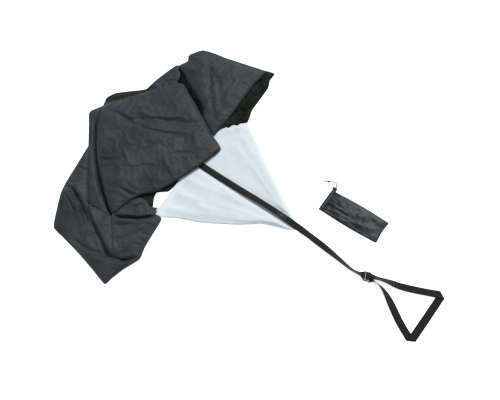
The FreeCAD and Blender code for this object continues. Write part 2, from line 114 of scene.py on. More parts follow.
def buildStage():
    cameraData = bpy.data.cameras.new("camera")
    cameraData.lens = view["lens"]
    cameraData.sensor_width = 36
    camera = bpy.data.objects.new("camera", cameraData)
    bpy.context.collection.objects.link(camera)
    camera.location = place(*eye)
    camera.rotation_euler = (math.pi / 2 - tilt, 0, 0)
    bpy.context.scene.camera = camera

    for name, kind, spot in (("keyLight", "SUN", (500, 1500, 1800)),
                             ("fillLight", "AREA", (-1500, -900, 1700))):
        lamp = bpy.data.lights.new(name, kind)
        if kind == "SUN":
            lamp.energy, lamp.angle = light["sunPower"], math.radians(light["sunSpread"])
        else:
            lamp.energy, lamp.size = light["fillPower"], light["fillSize"]
        holder = bpy.data.objects.new(name, lamp)
        bpy.context.collection.objects.link(holder)
        holder.location = place(*spot)
        aim = place(-200, 150) - holder.location
        holder.rotation_euler = aim.to_track_quat("-Z", "Y").to_euler()

    world = bpy.data.worlds.new("softStudio")
    world.use_nodes = True
    world.node_tree.nodes["Background"].inputs["Color"].default_value = (1, 1, 1, 1)
    world.node_tree.nodes["Background"].inputs["Strength"].default_value = light["sky"]
    bpy.context.scene.world = world

    bpy.ops.mesh.primitive_plane_add(size=14, location=place(0, 0, -0.4))
    floor = bpy.context.object
    floor.name = "floor"
    paper = bpy.data.materials.new("paleSweep")
    paper.use_nodes = True
    shader = paper.node_tree.nodes["Principled BSDF"]
    shader.inputs["Base Color"].default_value = linear("#fbfbfb")
    shader.inputs["Roughness"].default_value = 0.9
    # lit from behind, so that the floor stays white under the small shadows
    shader.inputs["Emission Color"].default_value = (1, 1, 1, 1)
    shader.inputs["Emission Strength"].default_value = light["floorGlow"]
    floor.data.materials.append(paper)
    bpy.context.scene.view_settings.view_transform = "Standard"


buildStage()
print("stage built")

# Canopy cloth: nylon taffeta, 210 threads, piece-dyed black and calendered. A close plain
# weave with a soft satin sheen, and a fine crush from being packed wet. Its threads are far
# finer than 1.6 mm, and are drawn at that so that they show.
# Along the rim lines of the upper gores the colour turns a lighter brown.
taffeta = {"lit": "#333b3d", "dark": "#252b2d", "worn": "#3c3833", "rough": 0.58, "gloss": 0.15,
           "threadMm": 1.6, "crushMm": 11, "crush": 0.22, "sheen": 0.03}
# Where the canopy is folded back, its edges lie in the dark of the gaps; that dark is painted
# shade, a near-black rim colour laid along its rim lines.
taffetaBack = dict(taffeta, worn="#171511")
# The inside of the canopy is the same cloth, uncoated. Its colours are darkened as painted shade
# for the dark of the folds, and its rim colour is black, painted shade for the gaps between the
# gores above.
shadedTaffetaInside = {"lit": "#20251f", "dark": "#0c0f0d", "worn": "#040404", "rough": 0.6,
                 "gloss": 0.05, "threadMm": 1.6, "crushMm": 9, "crush": 0.4, "sheen": 0.0}
# Pouch cloth: the same nylon, coated on the back, so stiffer and a little bluer.
pouchNylon = {"lit": "#20272b", "dark": "#101416", "worn": "#14181a", "rough": 0.5, "gloss": 0.25,
              "threadMm": 1.6, "crushMm": 12, "crush": 0.35, "sheen": 0.02}
# Webbing: 25 mm polypropylene, woven in a flat twill with bound edges. Dull, with ribs.
webbing = {"ground": "#0d100e", "rib": "#1a1f1b", "edge": "#080a09", "ribMm": 2.6, "rough": 0.65,
           "gloss": 0.18}
# Mesh: knitted polyester net, heat-set white. Open cells, drawn three times their size.
net = {"thread": "#dbe5ea", "shade": "#ccd7dc", "cellMm": 3.2, "rough": 0.7}
# Thread: bonded polyester, wound black, with a slight gloss along each stitch.
thread = {"colour": "#2b3031", "dark": "#141718", "rough": 0.45, "stitchMm": 3.0}
# Cord: 3.4 mm braided polypropylene round a core. Fine slanting ribs.
braid = {"light": "#141617", "dark": "#070808", "rough": 0.65, "gloss": 0.2, "ribs": 260.0}
# Lock and tri-glide: injection-moulded acetal, a fine spark-eroded grain.
acetal = {"colour": "#1b1c1c", "cloud": "#2a2b2b", "rough": 0.38, "grainMm": 0.8}
glideAcetal = dict(acetal, colour="#161717", rough=0.45)
# Spring: drawn steel wire, bright, with fine lines along it.
springSteel = {"colour": "#b9bcbf", "dark": "#8d9093", "rough": 0.28, "lines": 900.0}


def newMaterial(name, rough, ior=1.5):
    material = bpy.data.materials.new(name)
    material.use_nodes = True
    shader = material.node_tree.nodes["Principled BSDF"]
    shader.inputs["Roughness"].default_value = rough
    shader.inputs["IOR"].default_value = ior
    return material, material.node_tree, shader


def makeTaffeta(name, look):
    material, tree, shader = newMaterial(name, look["rough"])
    uv = addNode(tree, "ShaderNodeUVMap", {"uv_map": "cloth"}).outputs["UV"]
    cloud = addNode(tree, "ShaderNodeTexNoise", {"Scale": 8.0, "Detail": 5.0, "Roughness": 0.62},
                    {"Vector": uv})
    spread = addNode(tree, "ShaderNodeMapRange", {"From Min": 0.36, "From Max": 0.66},
                     {"Value": cloud.outputs["Fac"]})
    tone = addNode(tree, "ShaderNodeMix",
                   {"data_type": "RGBA", 6: linear(look["dark"]), 7: linear(look["lit"])},
                   {"Factor": spread.outputs["Result"]})
    # Near the rim lines the colour turns to the rim colour: painted shade on the lower and
    # folded-back gores, a lighter brown tint on the upper ones.
    rim = addNode(tree, "ShaderNodeAttribute", {"attribute_name": "worn"})
    tone = addNode(tree, "ShaderNodeMix", {"data_type": "RGBA", 7: linear(look["worn"])},
                   {"Factor": rim.outputs["Fac"], 6: tone.outputs[2]})
    tree.links.new(tone.outputs[2], shader.inputs["Base Color"])
    # over-and-under threads
    waves = []
    for direction in ("X", "Y"):
        wave = addNode(tree, "ShaderNodeTexWave",
                       {"Scale": 1000 / look["threadMm"] / 20, "bands_direction": direction},
                       {"Vector": uv})
        waves.append(wave.outputs["Fac"])
    threads = addNode(tree, "ShaderNodeMath", {"operation": "MULTIPLY"}, {0: waves[0], 1: waves[1]})
    bump = addNode(tree, "ShaderNodeBump", {"Strength": 0.12, "Distance": 0.0002},
                   {"Height": threads.outputs[0]})
    # the crush: small sharp-edged facets, longer one way than the other
    stretched = addNode(tree, "ShaderNodeMapping", {"Scale": (0.55, 1.2, 1.0)}, {"Vector": uv})
    ridges = addNode(tree, "ShaderNodeTexNoise",
                     {"noise_type": "RIDGED_MULTIFRACTAL", "Scale": 1000 / look["crushMm"] / 4,
                      "Detail": 3.0, "Roughness": 0.5, "Distortion": 0.35},
                     {"Vector": stretched.outputs["Vector"]})
    crush = addNode(tree, "ShaderNodeBump", {"Strength": look["crush"], "Distance": 0.002},
                    {"Height": ridges.outputs["Fac"], "Normal": bump.outputs["Normal"]})
    tree.links.new(crush.outputs["Normal"], shader.inputs["Normal"])
    shader.inputs["Specular IOR Level"].default_value = look["gloss"]
    shader.inputs["Sheen Weight"].default_value = look["sheen"]
    shader.inputs["Sheen Roughness"].default_value = 0.4
    return material


def makeWebbing():
    material, tree, shader = newMaterial("blackPolypropyleneWebbing", webbing["rough"])
    uv = addNode(tree, "ShaderNodeUVMap", {"uv_map": "cloth"}).outputs["UV"]
    parts = addNode(tree, "ShaderNodeSeparateXYZ", {}, {"Vector": uv})
    # ribs run across and turn back at the middle, like herringbone
    away = addNode(tree, "ShaderNodeMath", {"operation": "ABSOLUTE"}, {0: parts.outputs["Y"]})
    slant = addNode(tree, "ShaderNodeMath", {"operation": "ADD"},
                    {0: parts.outputs["X"], 1: away.outputs[0]})
    turns = addNode(tree, "ShaderNodeMath", {"operation": "MULTIPLY", 1: 6283 / webbing["ribMm"]},
                    {0: slant.outputs[0]})
    rib = addNode(tree, "ShaderNodeMath", {"operation": "SINE"}, {0: turns.outputs[0]})
    ground = addNode(tree, "ShaderNodeMapRange", {"From Min": -1.0}, {"Value": rib.outputs[0]})
    edge = addNode(tree, "ShaderNodeMapRange", {"From Min": 0.009, "From Max": 0.012},
                   {"Value": away.outputs[0]})
    colour = addNode(tree, "ShaderNodeMix", {"data_type": "RGBA", 6: linear(webbing["ground"]),
                                             7: linear(webbing["rib"])},
                     {"Factor": ground.outputs["Result"]})
    colour = addNode(tree, "ShaderNodeMix", {"data_type": "RGBA", 7: linear(webbing["edge"])},
                     {"Factor": edge.outputs["Result"], 6: colour.outputs[2]})
    tree.links.new(colour.outputs[2], shader.inputs["Base Color"])
    shader.inputs["Specular IOR Level"].default_value = webbing["gloss"]
    bump = addNode(tree, "ShaderNodeBump", {"Strength": 0.5, "Distance": 0.0004},
                   {"Height": rib.outputs[0]})
    tree.links.new(bump.outputs["Normal"], shader.inputs["Normal"])
    return material


def makeNet():
    material, tree, shader = newMaterial("whitePolyesterNet", net["rough"])
    uv = addNode(tree, "ShaderNodeUVMap", {"uv_map": "cloth"}).outputs["UV"]
    cells = addNode(tree, "ShaderNodeTexVoronoi",
                    {"feature": "DISTANCE_TO_EDGE", "Scale": 1000 / net["cellMm"],
                     "Randomness": 0.35}, {"Vector": uv})
    closed = addNode(tree, "ShaderNodeMapRange",
                     {"From Min": 0.12, "From Max": 0.3, "To Min": 0.9, "To Max": 0.68},
                     {"Value": cells.outputs["Distance"]})
    cloud = addNode(tree, "ShaderNodeTexNoise", {"Scale": 9.0, "Detail": 3.0}, {"Vector": uv})
    colour = addNode(tree, "ShaderNodeMix", {"data_type": "RGBA", 6: linear(net["shade"]),
                                             7: linear(net["thread"])},
                     {"Factor": cloud.outputs["Fac"]})
    tree.links.new(colour.outputs[2], shader.inputs["Base Color"])
    tree.links.new(closed.outputs["Result"], shader.inputs["Alpha"])
    bump = addNode(tree, "ShaderNodeBump", {"Strength": 0.08, "Distance": 0.0003},
                   {"Height": cells.outputs["Distance"]})
    tree.links.new(bump.outputs["Normal"], shader.inputs["Normal"])
    shader.inputs["Sheen Weight"].default_value = 0.1
    return material


def makePatterned(name, look, ior, kind, pattern, colours, bumpBy):
    # one pattern that mixes two colours, and stands up by bumpBy (strength, metres)
    material, tree, shader = newMaterial(name, look["rough"], ior)
    if kind == "cloth":
        spot = addNode(tree, "ShaderNodeUVMap", {"uv_map": "cloth"}).outputs["UV"]
    else:
        spot = addNode(tree, "ShaderNodeTexCoord").outputs["Object"]
    factor = [addNode(tree, node, settings, {"Vector": spot}) for node, settings in pattern]
    colour = addNode(tree, "ShaderNodeMix", {"data_type": "RGBA", 6: linear(look[colours[0]]),
                                             7: linear(look[colours[1]])},
                     {"Factor": factor[-1].outputs["Fac"]})
    tree.links.new(colour.outputs[2], shader.inputs["Base Color"])
    if bumpBy:
        bump = addNode(tree, "ShaderNodeBump", {"Strength": bumpBy[0], "Distance": bumpBy[1]},
                       {"Height": factor[0].outputs["Fac"]})
        tree.links.new(bump.outputs["Normal"], shader.inputs["Normal"])
    if "gloss" in look:
        shader.inputs["Specular IOR Level"].default_value = look["gloss"]
    return material


def makeMoulded(name, look):
    grain = {"Scale": 1000 / look["grainMm"] / 2, "Detail": 2.0}
    return makePatterned(name, look, 1.48, "solid",
                         [("ShaderNodeTexNoise", grain), ("ShaderNodeTexNoise", {"Scale": 60.0})],
                         ("colour", "cloud"), (0.25, 0.0002))


canopyCloth = makeTaffeta("blackNylonTaffeta", taffeta)
shadedInsideCloth = makeTaffeta("blackTaffetaInside", shadedTaffetaInside)
backCloth = makeTaffeta("blackTaffetaFoldedBack", taffetaBack)
pouchCloth = makeTaffeta("coatedPouchNylon", pouchNylon)
webbingWeave = makeWebbing()
netCloth = makeNet()
seamThread = makePatterned("blackSeamThread", thread, 1.5, "cloth",
                           [("ShaderNodeTexWave", {"Scale": 1000 / thread["stitchMm"] / 20,
                                                   "bands_direction": "X"})],
                           ("dark", "colour"), (0.6, 0.0004))
cordBraid = makePatterned("blackBraidedCord", braid, 1.5, "solid",
                          [("ShaderNodeTexWave", {"Scale": braid["ribs"],
                                                  "bands_direction": "DIAGONAL"})],
                          ("dark", "light"), (0.6, 0.0003))
lockPlastic = makeMoulded("blackMouldedAcetal", acetal)
glidePlastic = makeMoulded("blackMouldedGlide", glideAcetal)
lockSteel = makePatterned("drawnSpringSteel", springSteel, 1.5, "solid",
                          [("ShaderNodeTexNoise", {"Scale": springSteel["lines"], "Detail": 2.0})],
                          ("dark", "colour"), None)
lockSteel.node_tree.nodes["Principled BSDF"].inputs["Metallic"].default_value = 1.0
print("materials made")


def smoothLine(corners, step, closed=False):
    # a curve through the corners, sampled about every step millimetres; columns after the
    # first two, such as heights, are carried along
    points = np.array(corners, float)
    count = len(points)
    out = []
    for i in range(count if closed else count - 1):
        if closed:
            before, here, there, after = (points[(i + k) % count] for k in (-1, 0, 1, 2))
        else:
            before, here, there, after = (points[min(max(i + k, 0), count - 1)]
                                          for k in (-1, 0, 1, 2))
        span = np.linalg.norm((there - here)[:2])
        pieces = max(1, int(round(span / step)))
        leaving, arriving = (there - before) * 0.34, (after - here) * 0.34
        leaving = leaving * min(1, 1.6 * span / (np.linalg.norm((there - before)[:2]) + 1e-6))
        arriving = arriving * min(1, 1.6 * span / (np.linalg.norm((after - here)[:2]) + 1e-6))
        for k in range(pieces):
            s = k / pieces
            out.append((2 * s**3 - 3 * s**2 + 1) * here + (s**3 - 2 * s**2 + s) * leaving
                       + (3 * s**2 - 2 * s**3) * there + (s**3 - s**2) * arriving)
    if not closed:
        out.append(points[-1])
    return np.array(out)


def toLine(spots, line):
    # each spot's distance to a polyline, how far along it that is, and on which side
    line = np.array(line, float)[:, :2]
    starts, ways = line[:-1], np.diff(line, axis=0)
    rel = spots[:, None, :] - starts[None]
    share = np.clip((rel * ways[None]).sum(2) / (ways ** 2).sum(1)[None], 0, 1)
    apart = rel - share[..., None] * ways[None]
    gap = np.linalg.norm(apart, axis=2)
    best = gap.argmin(1)
    rows = np.arange(len(spots))
    way, off = ways[best], apart[rows, best]
    side = np.sign(way[:, 0] * off[:, 1] - way[:, 1] * off[:, 0])
    return gap[rows, best], best + share[rows, best], side


def insideLoop(spots, loop):
    inside = np.zeros(len(spots), bool)
    x, y = spots[:, 0], spots[:, 1]
    for (x0, y0), (x1, y1) in zip(loop[:, :2], np.roll(loop[:, :2], -1, axis=0)):
        crosses = (y0 > y) != (y1 > y)
        inside ^= crosses & (x < (x1 - x0) * (y - y0) / (y1 - y0 + 1e-12) + x0)
    return inside


def lean(spots, heights):
    # Outlines and folds are drawn where they are seen on the floor from the camera's place,
    # so a point at a height moves along its line of sight, towards the eye.
    share = (np.array(heights) / eye[2])[:, None]
    flat = np.column_stack([spots[:, :2], np.zeros(len(spots))])
    return flat + (eye[None] - flat) * share


def smoothStep(value, low, high):
    s = np.clip((value - low) / (high - low), 0, 1)
    return s * s * (3 - 2 * s)


# Folds: a groove is a tight crease pressed in, a hollow a soft valley, a ridge a soft fold
# that stands up, and a lap raises the cloth on the left of its line, as where it folds over
# itself. Each has its line, its depth or height, and its width.
def foldHeights(spots, folds):
    total = np.zeros(len(spots))
    for kind, line, amount, width in folds:
        fine = smoothLine(line, 12)
        away, along, side = toLine(spots, fine)
        last = len(fine) - 1
        ends = smoothStep(np.minimum(along, last - along), -0.01, min(3.0, last / 2.0))
        if kind == "groove":
            shape = -np.exp(-(away / width) ** 2)
            shape = shape + 0.45 * np.exp(-((away - 2.2 * width) / width) ** 2)
        elif kind == "hollow":
            shape = -np.exp(-(away / width) ** 2)
        elif kind == "ridge":
            shape = np.exp(-(away / width) ** 1.4)
        else:
            signed = away * side
            shape = (smoothStep(signed, -0.4 * width, 0.6 * width)
                     * np.exp(-np.abs(signed) / (6 * width)))
            shape = shape - 0.5 * np.exp(-((signed + width) / width) ** 2)
        total += amount * shape * ends
    return total


def creaseSpots(folds, step):
    # points along the tight folds, and beside them, so that the cloth can bend there
    rows = []
    for kind, line, amount, width in folds:
        if kind == "hollow":
            continue
        fine = smoothLine(line, step)
        way = np.gradient(fine, axis=0)
        across = np.column_stack([-way[:, 1], way[:, 0]]) / np.linalg.norm(way, axis=1)[:, None]
        for side in (0, -0.55, 0.55, -1.4, 1.4):
            rows.append(fine + across * side * max(width, 4))
    return np.vstack(rows) if rows else np.zeros((0, 2))


def thinned(spots, kept, space):
    # those spots that stand clear of the kept ones and of each other
    cells = {tuple(np.floor(p / space).astype(int)): [tuple(p)] for p in kept}
    for p in kept:
        cells.setdefault(tuple(np.floor(p / space).astype(int)), []).append(tuple(p))
    out = []
    for p in spots:
        home = np.floor(p / space).astype(int)
        near = [q for i in (-1, 0, 1) for j in (-1, 0, 1)
                for q in cells.get((home[0] + i, home[1] + j), ())]
        if all((p[0] - q[0]) ** 2 + (p[1] - q[1]) ** 2 > space ** 2 for q in near):
            cells.setdefault(tuple(home), []).append(tuple(p))
            out.append(p)
    return np.array(out) if out else np.zeros((0, 2))


def flatCloth(look):
    # triangles that fill the outline: edge points, then crease points, then a staggered grid
    step = look["spacing"]
    edge = smoothLine(look["outline"], step, closed=True)
    low, high = edge[:, :2].min(0), edge[:, :2].max(0)
    rows = []
    for row, y in enumerate(np.arange(low[1], high[1], step * 0.866)):
        xs = np.arange(low[0] + (row % 2) * step / 2, high[0], step)
        rows.append(np.column_stack([xs, np.full(len(xs), y)]))
    closed = np.vstack([edge, edge[:1]])
    kept = edge[:, :2]
    for candidates, space in ((creaseSpots(look["folds"], step * 0.8), step * 0.45),
                              (np.vstack(rows), step * 0.7)):
        if len(candidates):
            candidates = candidates[insideLoop(candidates, edge)]
        if len(candidates):
            candidates = candidates[toLine(candidates, closed)[0] > step * 0.5]
        kept = np.vstack([kept, thinned(candidates, kept, space)])
    spots, _, faces, _, _, _ = delaunay_2d_cdt([Vector(p) for p in kept], [],
                                               [list(range(len(edge)))], 1, 1e-4)
    return np.array([tuple(p) for p in spots]), [tuple(f) for f in faces], edge


def edgeHeights(spots, edge):
    # the distance to the edge, and the edge's own height at the nearest place
    closed = np.vstack([edge, edge[:1]])
    gap, at, _ = toLine(spots, closed)
    low = np.floor(at).astype(int)
    share = at - low
    values = closed[np.minimum(low, len(edge)), 2] * (1 - share)
    return gap, values + closed[np.minimum(low + 1, len(edge)), 2] * share


def heapHeights(spots, edge, look):
    # up from the edges, with soft billows and the drawn folds
    gap, heights = edgeHeights(spots, edge)
    level = smoothStep(gap, 0, look["edge"] * 1.3)
    heights = heights * (1 - level) + edge[:, 2].mean() * level
    rise = np.clip(gap / look["edge"], 0, 1)
    profile = 0.6 * np.sqrt(1 - (1 - rise) ** 2) + 0.4 * rise
    seed = look["seed"] * 17.3
    billow = np.zeros(len(spots))
    for scale, amount in look.get("billows", ((140, 5.0), (55, 1.4))):
        billow += amount * np.array([noise.noise(Vector((x / scale + seed, y / scale, seed)))
                                     for x, y in spots])
    fade = smoothStep(gap, 0, 14)
    heights = heights + look["bulk"] * profile + (billow * profile
                                                  + foldHeights(spots, look["folds"]) * fade)
    return np.maximum(heights, look.get("floor", 1.6))


def gridFaces(rows, size, tube=False, turned=False):
    # quads between rows of points; a tube's rows close on themselves
    faces = []
    for i in range(rows - 1):
        for k in range(size if tube else size - 1):
            a, b = i * size + k, i * size + (k + 1) % size
            faces.append((a, a + size, b + size, b) if turned else (a, b, b + size, a + size))
    return faces


def takePlace(piece, node):
    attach(piece, bodyOf[node])
    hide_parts(node)


def newPiece(name, points, faces, uvs, material):
    mesh = bpy.data.meshes.new(name)
    mesh.from_pydata([tuple(p) for p in points], [], faces)
    layer = mesh.uv_layers.new(name="cloth")
    for loop in mesh.loops:
        layer.data[loop.index].uv = uvs[loop.vertex_index]
    for polygon in mesh.polygons:
        polygon.use_smooth = True
    mesh.materials.append(material)
    piece = bpy.data.objects.new(name, mesh)
    bpy.context.collection.objects.link(piece)
    return piece


def clothPiece(name, look, material):
    # A gore as a thin sheet. Its flat pattern is kept as its cloth coordinates, and its
    # edges turn down and in beneath it by the outline's fourth value.
    spots, faces, edge = flatCloth(look)
    heap = look.get("heap", look)
    heights = heapHeights(spots, smoothLine(heap["outline"], 10, closed=True), heap)
    heights += look.get("raised", 0)
    gap = edgeHeights(spots, edge)[0]
    count = len(edge)
    tops = heights[:count]
    points = lean(spots, heights)
    uvs = spots / 1000
    way = np.roll(edge[:, :2], -1, axis=0) - np.roll(edge[:, :2], 1, axis=0)
    inwards = np.column_stack([-way[:, 1], way[:, 0]]) / np.linalg.norm(way, axis=1)[:, None]
    area = (edge[:, 0] * np.roll(edge[:, 1], -1) - edge[:, 1] * np.roll(edge[:, 0], -1)).sum()
    if area < 0:
        inwards = -inwards
    drop = np.maximum(tops - look.get("foot", 1.2), 0.3)
    under = edge[:, 3] if edge.shape[1] > 3 else np.full(count, 8.0)
    previous = np.arange(count)
    faces = list(faces)
    for share, inset, depth in ((0.12, -1.2, 0.3), (0.5, 0.25, 0.72), (1.0, 1.0, 1.0)):
        ring = lean(edge, tops) + np.column_stack(
            [inwards * (under * inset if inset > 0 else np.full(count, inset))[:, None],
             -drop * depth * np.clip(8 / np.maximum(under, 1), 0.35, 1)])
        start = len(points)
        points = np.vstack([points, ring])
        uvs = np.vstack([uvs, (edge[:, :2] - inwards * share * 12) / 1000])
        for i in range(count):
            j = (i + 1) % count
            quad = (previous[i], previous[j], start + j, start + i)
            faces.append(quad if area < 0 else quad[::-1])
        previous = np.arange(start, start + count)
    piece = newPiece(name + "_cloth", [place(*p) for p in points], faces, uvs, material)
    held = piece.vertex_groups.new(name="held")
    held.add([i for i in range(len(spots)) if gap[i] < 1.0], 1.0, "REPLACE")
    held.add(list(range(len(spots), len(points))), 1.0, "REPLACE")
    groove = [f for f in look["folds"] if f[0] != "hollow"]
    if groove:
        near = np.min([toLine(spots, smoothLine(f[1], 12))[0] / max(f[3], 3) for f in groove],
                      axis=0)
        held.add([i for i in range(len(spots)) if near[i] < 0.6], 0.9, "REPLACE")
    # How far each point takes the rim colour, fading out from the rim lines: painted shade on the
    # lower gores, a tint on the upper ones.
    rim = look.get("rim")
    worn = piece.data.attributes.new("worn", "FLOAT", "POINT")
    values = np.zeros(len(points))
    if rim:
        near = np.min([toLine(spots, smoothLine(line, 12))[0] for line in rim["lines"]], axis=0)
        clearOfRim = smoothStep(near, rim["width"] * 0.5, rim["width"])
        values[:len(spots)] = rim["amount"] * (1 - clearOfRim)
    worn.data.foreach_set("value", values)
    return piece


def nodeOf(piece):
    return piece.name.replace("_cloth", "")


# frames and quality of the run, the cloth's own stiffness and mass, the furthest that a
# point may move (m), and how far its stand-in heap lies below it (mm)
clothRun = {"frames": 20, "quality": 6, "gravity": 0.4, "cap": 0.022, "bending": 0.05,
            "below": 2.2, "mass": 0.12, "stretch": 12, "shear": 4, "air": 2, "friction": 8,
            "space": 0.001}


def settle(pieces, looks):
    # Lets the cloth buckle: it is cut a little larger than its place, and it lies on a copy
    # of its own heap that stands in for the layers and the air beneath it.
    scene = bpy.context.scene
    starts, groups = {}, []
    for piece in pieces:
        look = looks[nodeOf(piece)]
        starts[piece.name] = [v.co.copy() for v in piece.data.vertices]
        heap = piece.data.copy()
        for vertex in heap.vertices:
            vertex.co.z -= clothRun["below"] / 1000
        below = bpy.data.objects.new("heap", heap)
        group = bpy.data.collections.new("heaps")
        scene.collection.children.link(group)
        group.objects.link(below)
        below.modifiers.new("Collision", "COLLISION")
        below.collision.thickness_outer = clothRun["space"]
        below.collision.cloth_friction = clothRun["friction"]
        groups.append(group)
        cloth = piece.modifiers.new("Cloth", "CLOTH")
        rules = cloth.settings
        rules.quality = clothRun["quality"]
        rules.mass = clothRun["mass"]
        rules.tension_stiffness = rules.compression_stiffness = clothRun["stretch"]
        rules.shear_stiffness = clothRun["shear"]
        rules.bending_stiffness = clothRun["bending"]
        rules.air_damping = clothRun["air"]
        rules.vertex_group_mass = "held"
        rules.shrink_min = -look["excess"]
        rules.effector_weights.gravity = clothRun["gravity"]
        cloth.collision_settings.distance_min = clothRun["space"]
        cloth.collision_settings.use_self_collision = False
        cloth.collision_settings.collection = group
        cloth.point_cache.frame_end = clothRun["frames"]
    for step in range(1, clothRun["frames"] + 1):
        scene.frame_set(step)
    graph = bpy.context.evaluated_depsgraph_get()
    for piece in pieces:
        settled = bpy.data.meshes.new_from_object(piece.evaluated_get(graph))
        for vertex, start in zip(settled.vertices, starts[piece.name]):
            move = vertex.co - start
            if move.length > clothRun["cap"]:
                vertex.co = start + move * (clothRun["cap"] / move.length)
        piece.modifiers.clear()
        piece.data = settled
    scene.frame_set(1)
    for group in groups:
        for heap in list(group.objects):
            bpy.data.objects.remove(heap)
        bpy.data.collections.remove(group)


# The left wing is one heap that two gores share.
leftWing = {
    "outline": [(-592, 226, 2.5), (-623, 147, 2.5), (-653, 68, 2.5), (-663, 28, 2.5),
                (-667, -39, 2.5), (-666, -104, 2.5), (-625, -145, 2.5), (-566, -202, 2.5),
                (-516, -255, 2.5), (-467, -308, 2.5), (-447, -286, 2.5), (-412, -255, 2.5),
                (-364, -220, 2.5), (-350, -177, 2.5), (-330, -134, 2.5), (-303, -77, 2.5),
                (-311, -33, 1.8), (-346, -26, 6), (-391, 12, 8), (-425, 6, 7), (-470, -30, 7),
                (-520, -28, 6), (-556, 0, 5), (-568, 90, 4), (-580, 200, 3)],
    "bulk": 11, "edge": 60, "seed": 14, "billows": ((120, 4.0), (45, 1.2)),
    "folds": [("ridge", [(-664, 54), (-647, 42), (-629, 18), (-602, -26), (-579, -66),
                         (-560, -104)], 10, 6),
              ("groove", [(-640, 60), (-610, 18), (-586, -24), (-568, -64), (-551, -106)], 11, 8),
              ("groove", [(-664, 48), (-640, 22), (-618, -15), (-600, -60)], 6, 5),
              ("ridge", [(-660, 70), (-627, 60), (-601, 68), (-574, 80)], 5, 7),
              ("lap", [(-562, -8), (-550, -51), (-536, -81), (-514, -119), (-492, -159),
                       (-472, -194), (-455, -216)], 13, 8),
              ("hollow", [(-550, -118), (-528, -140), (-502, -180), (-476, -214)], 10, 15),
              ("ridge", [(-566, -106), (-545, -88), (-527, -64)], 5, 4),
              ("lap", [(-362, -215), (-391, -228), (-421, -232), (-455, -226), (-495, -211),
                       (-530, -197), (-566, -177), (-604, -150)], 9, 7),
              ("hollow", [(-420, -222), (-470, -212), (-520, -192)], 5, 10),
              ("groove", [(-370, -212), (-395, -222), (-425, -226), (-452, -220)], 6, 6),
              ("ridge", [(-474, -139), (-438, -133), (-406, -122), (-380, -106), (-350, -90)],
               7, 9),
              ("hollow", [(-478, -96), (-440, -100), (-400, -92), (-360, -78)], 6, 12),
              ("groove", [(-441, -212), (-418, -196), (-390, -172)], 4, 5),
              ("groove", [(-474, -58), (-445, -66), (-411, -68), (-377, -70), (-343, -64),
                          (-322, -66)], 12, 6),
              ("groove", [(-412, -58), (-402, -30), (-380, -14), (-366, -28), (-362, -56)],
               7, 4),
              ("groove", [(-448, -30), (-425, -22), (-400, -22)], 5, 5),
              ("groove", [(-622, 140), (-597, 124), (-574, 108)], 3, 5)],
}


def turnedIn(corners, by):
    return [(*corner, by) for corner in corners]


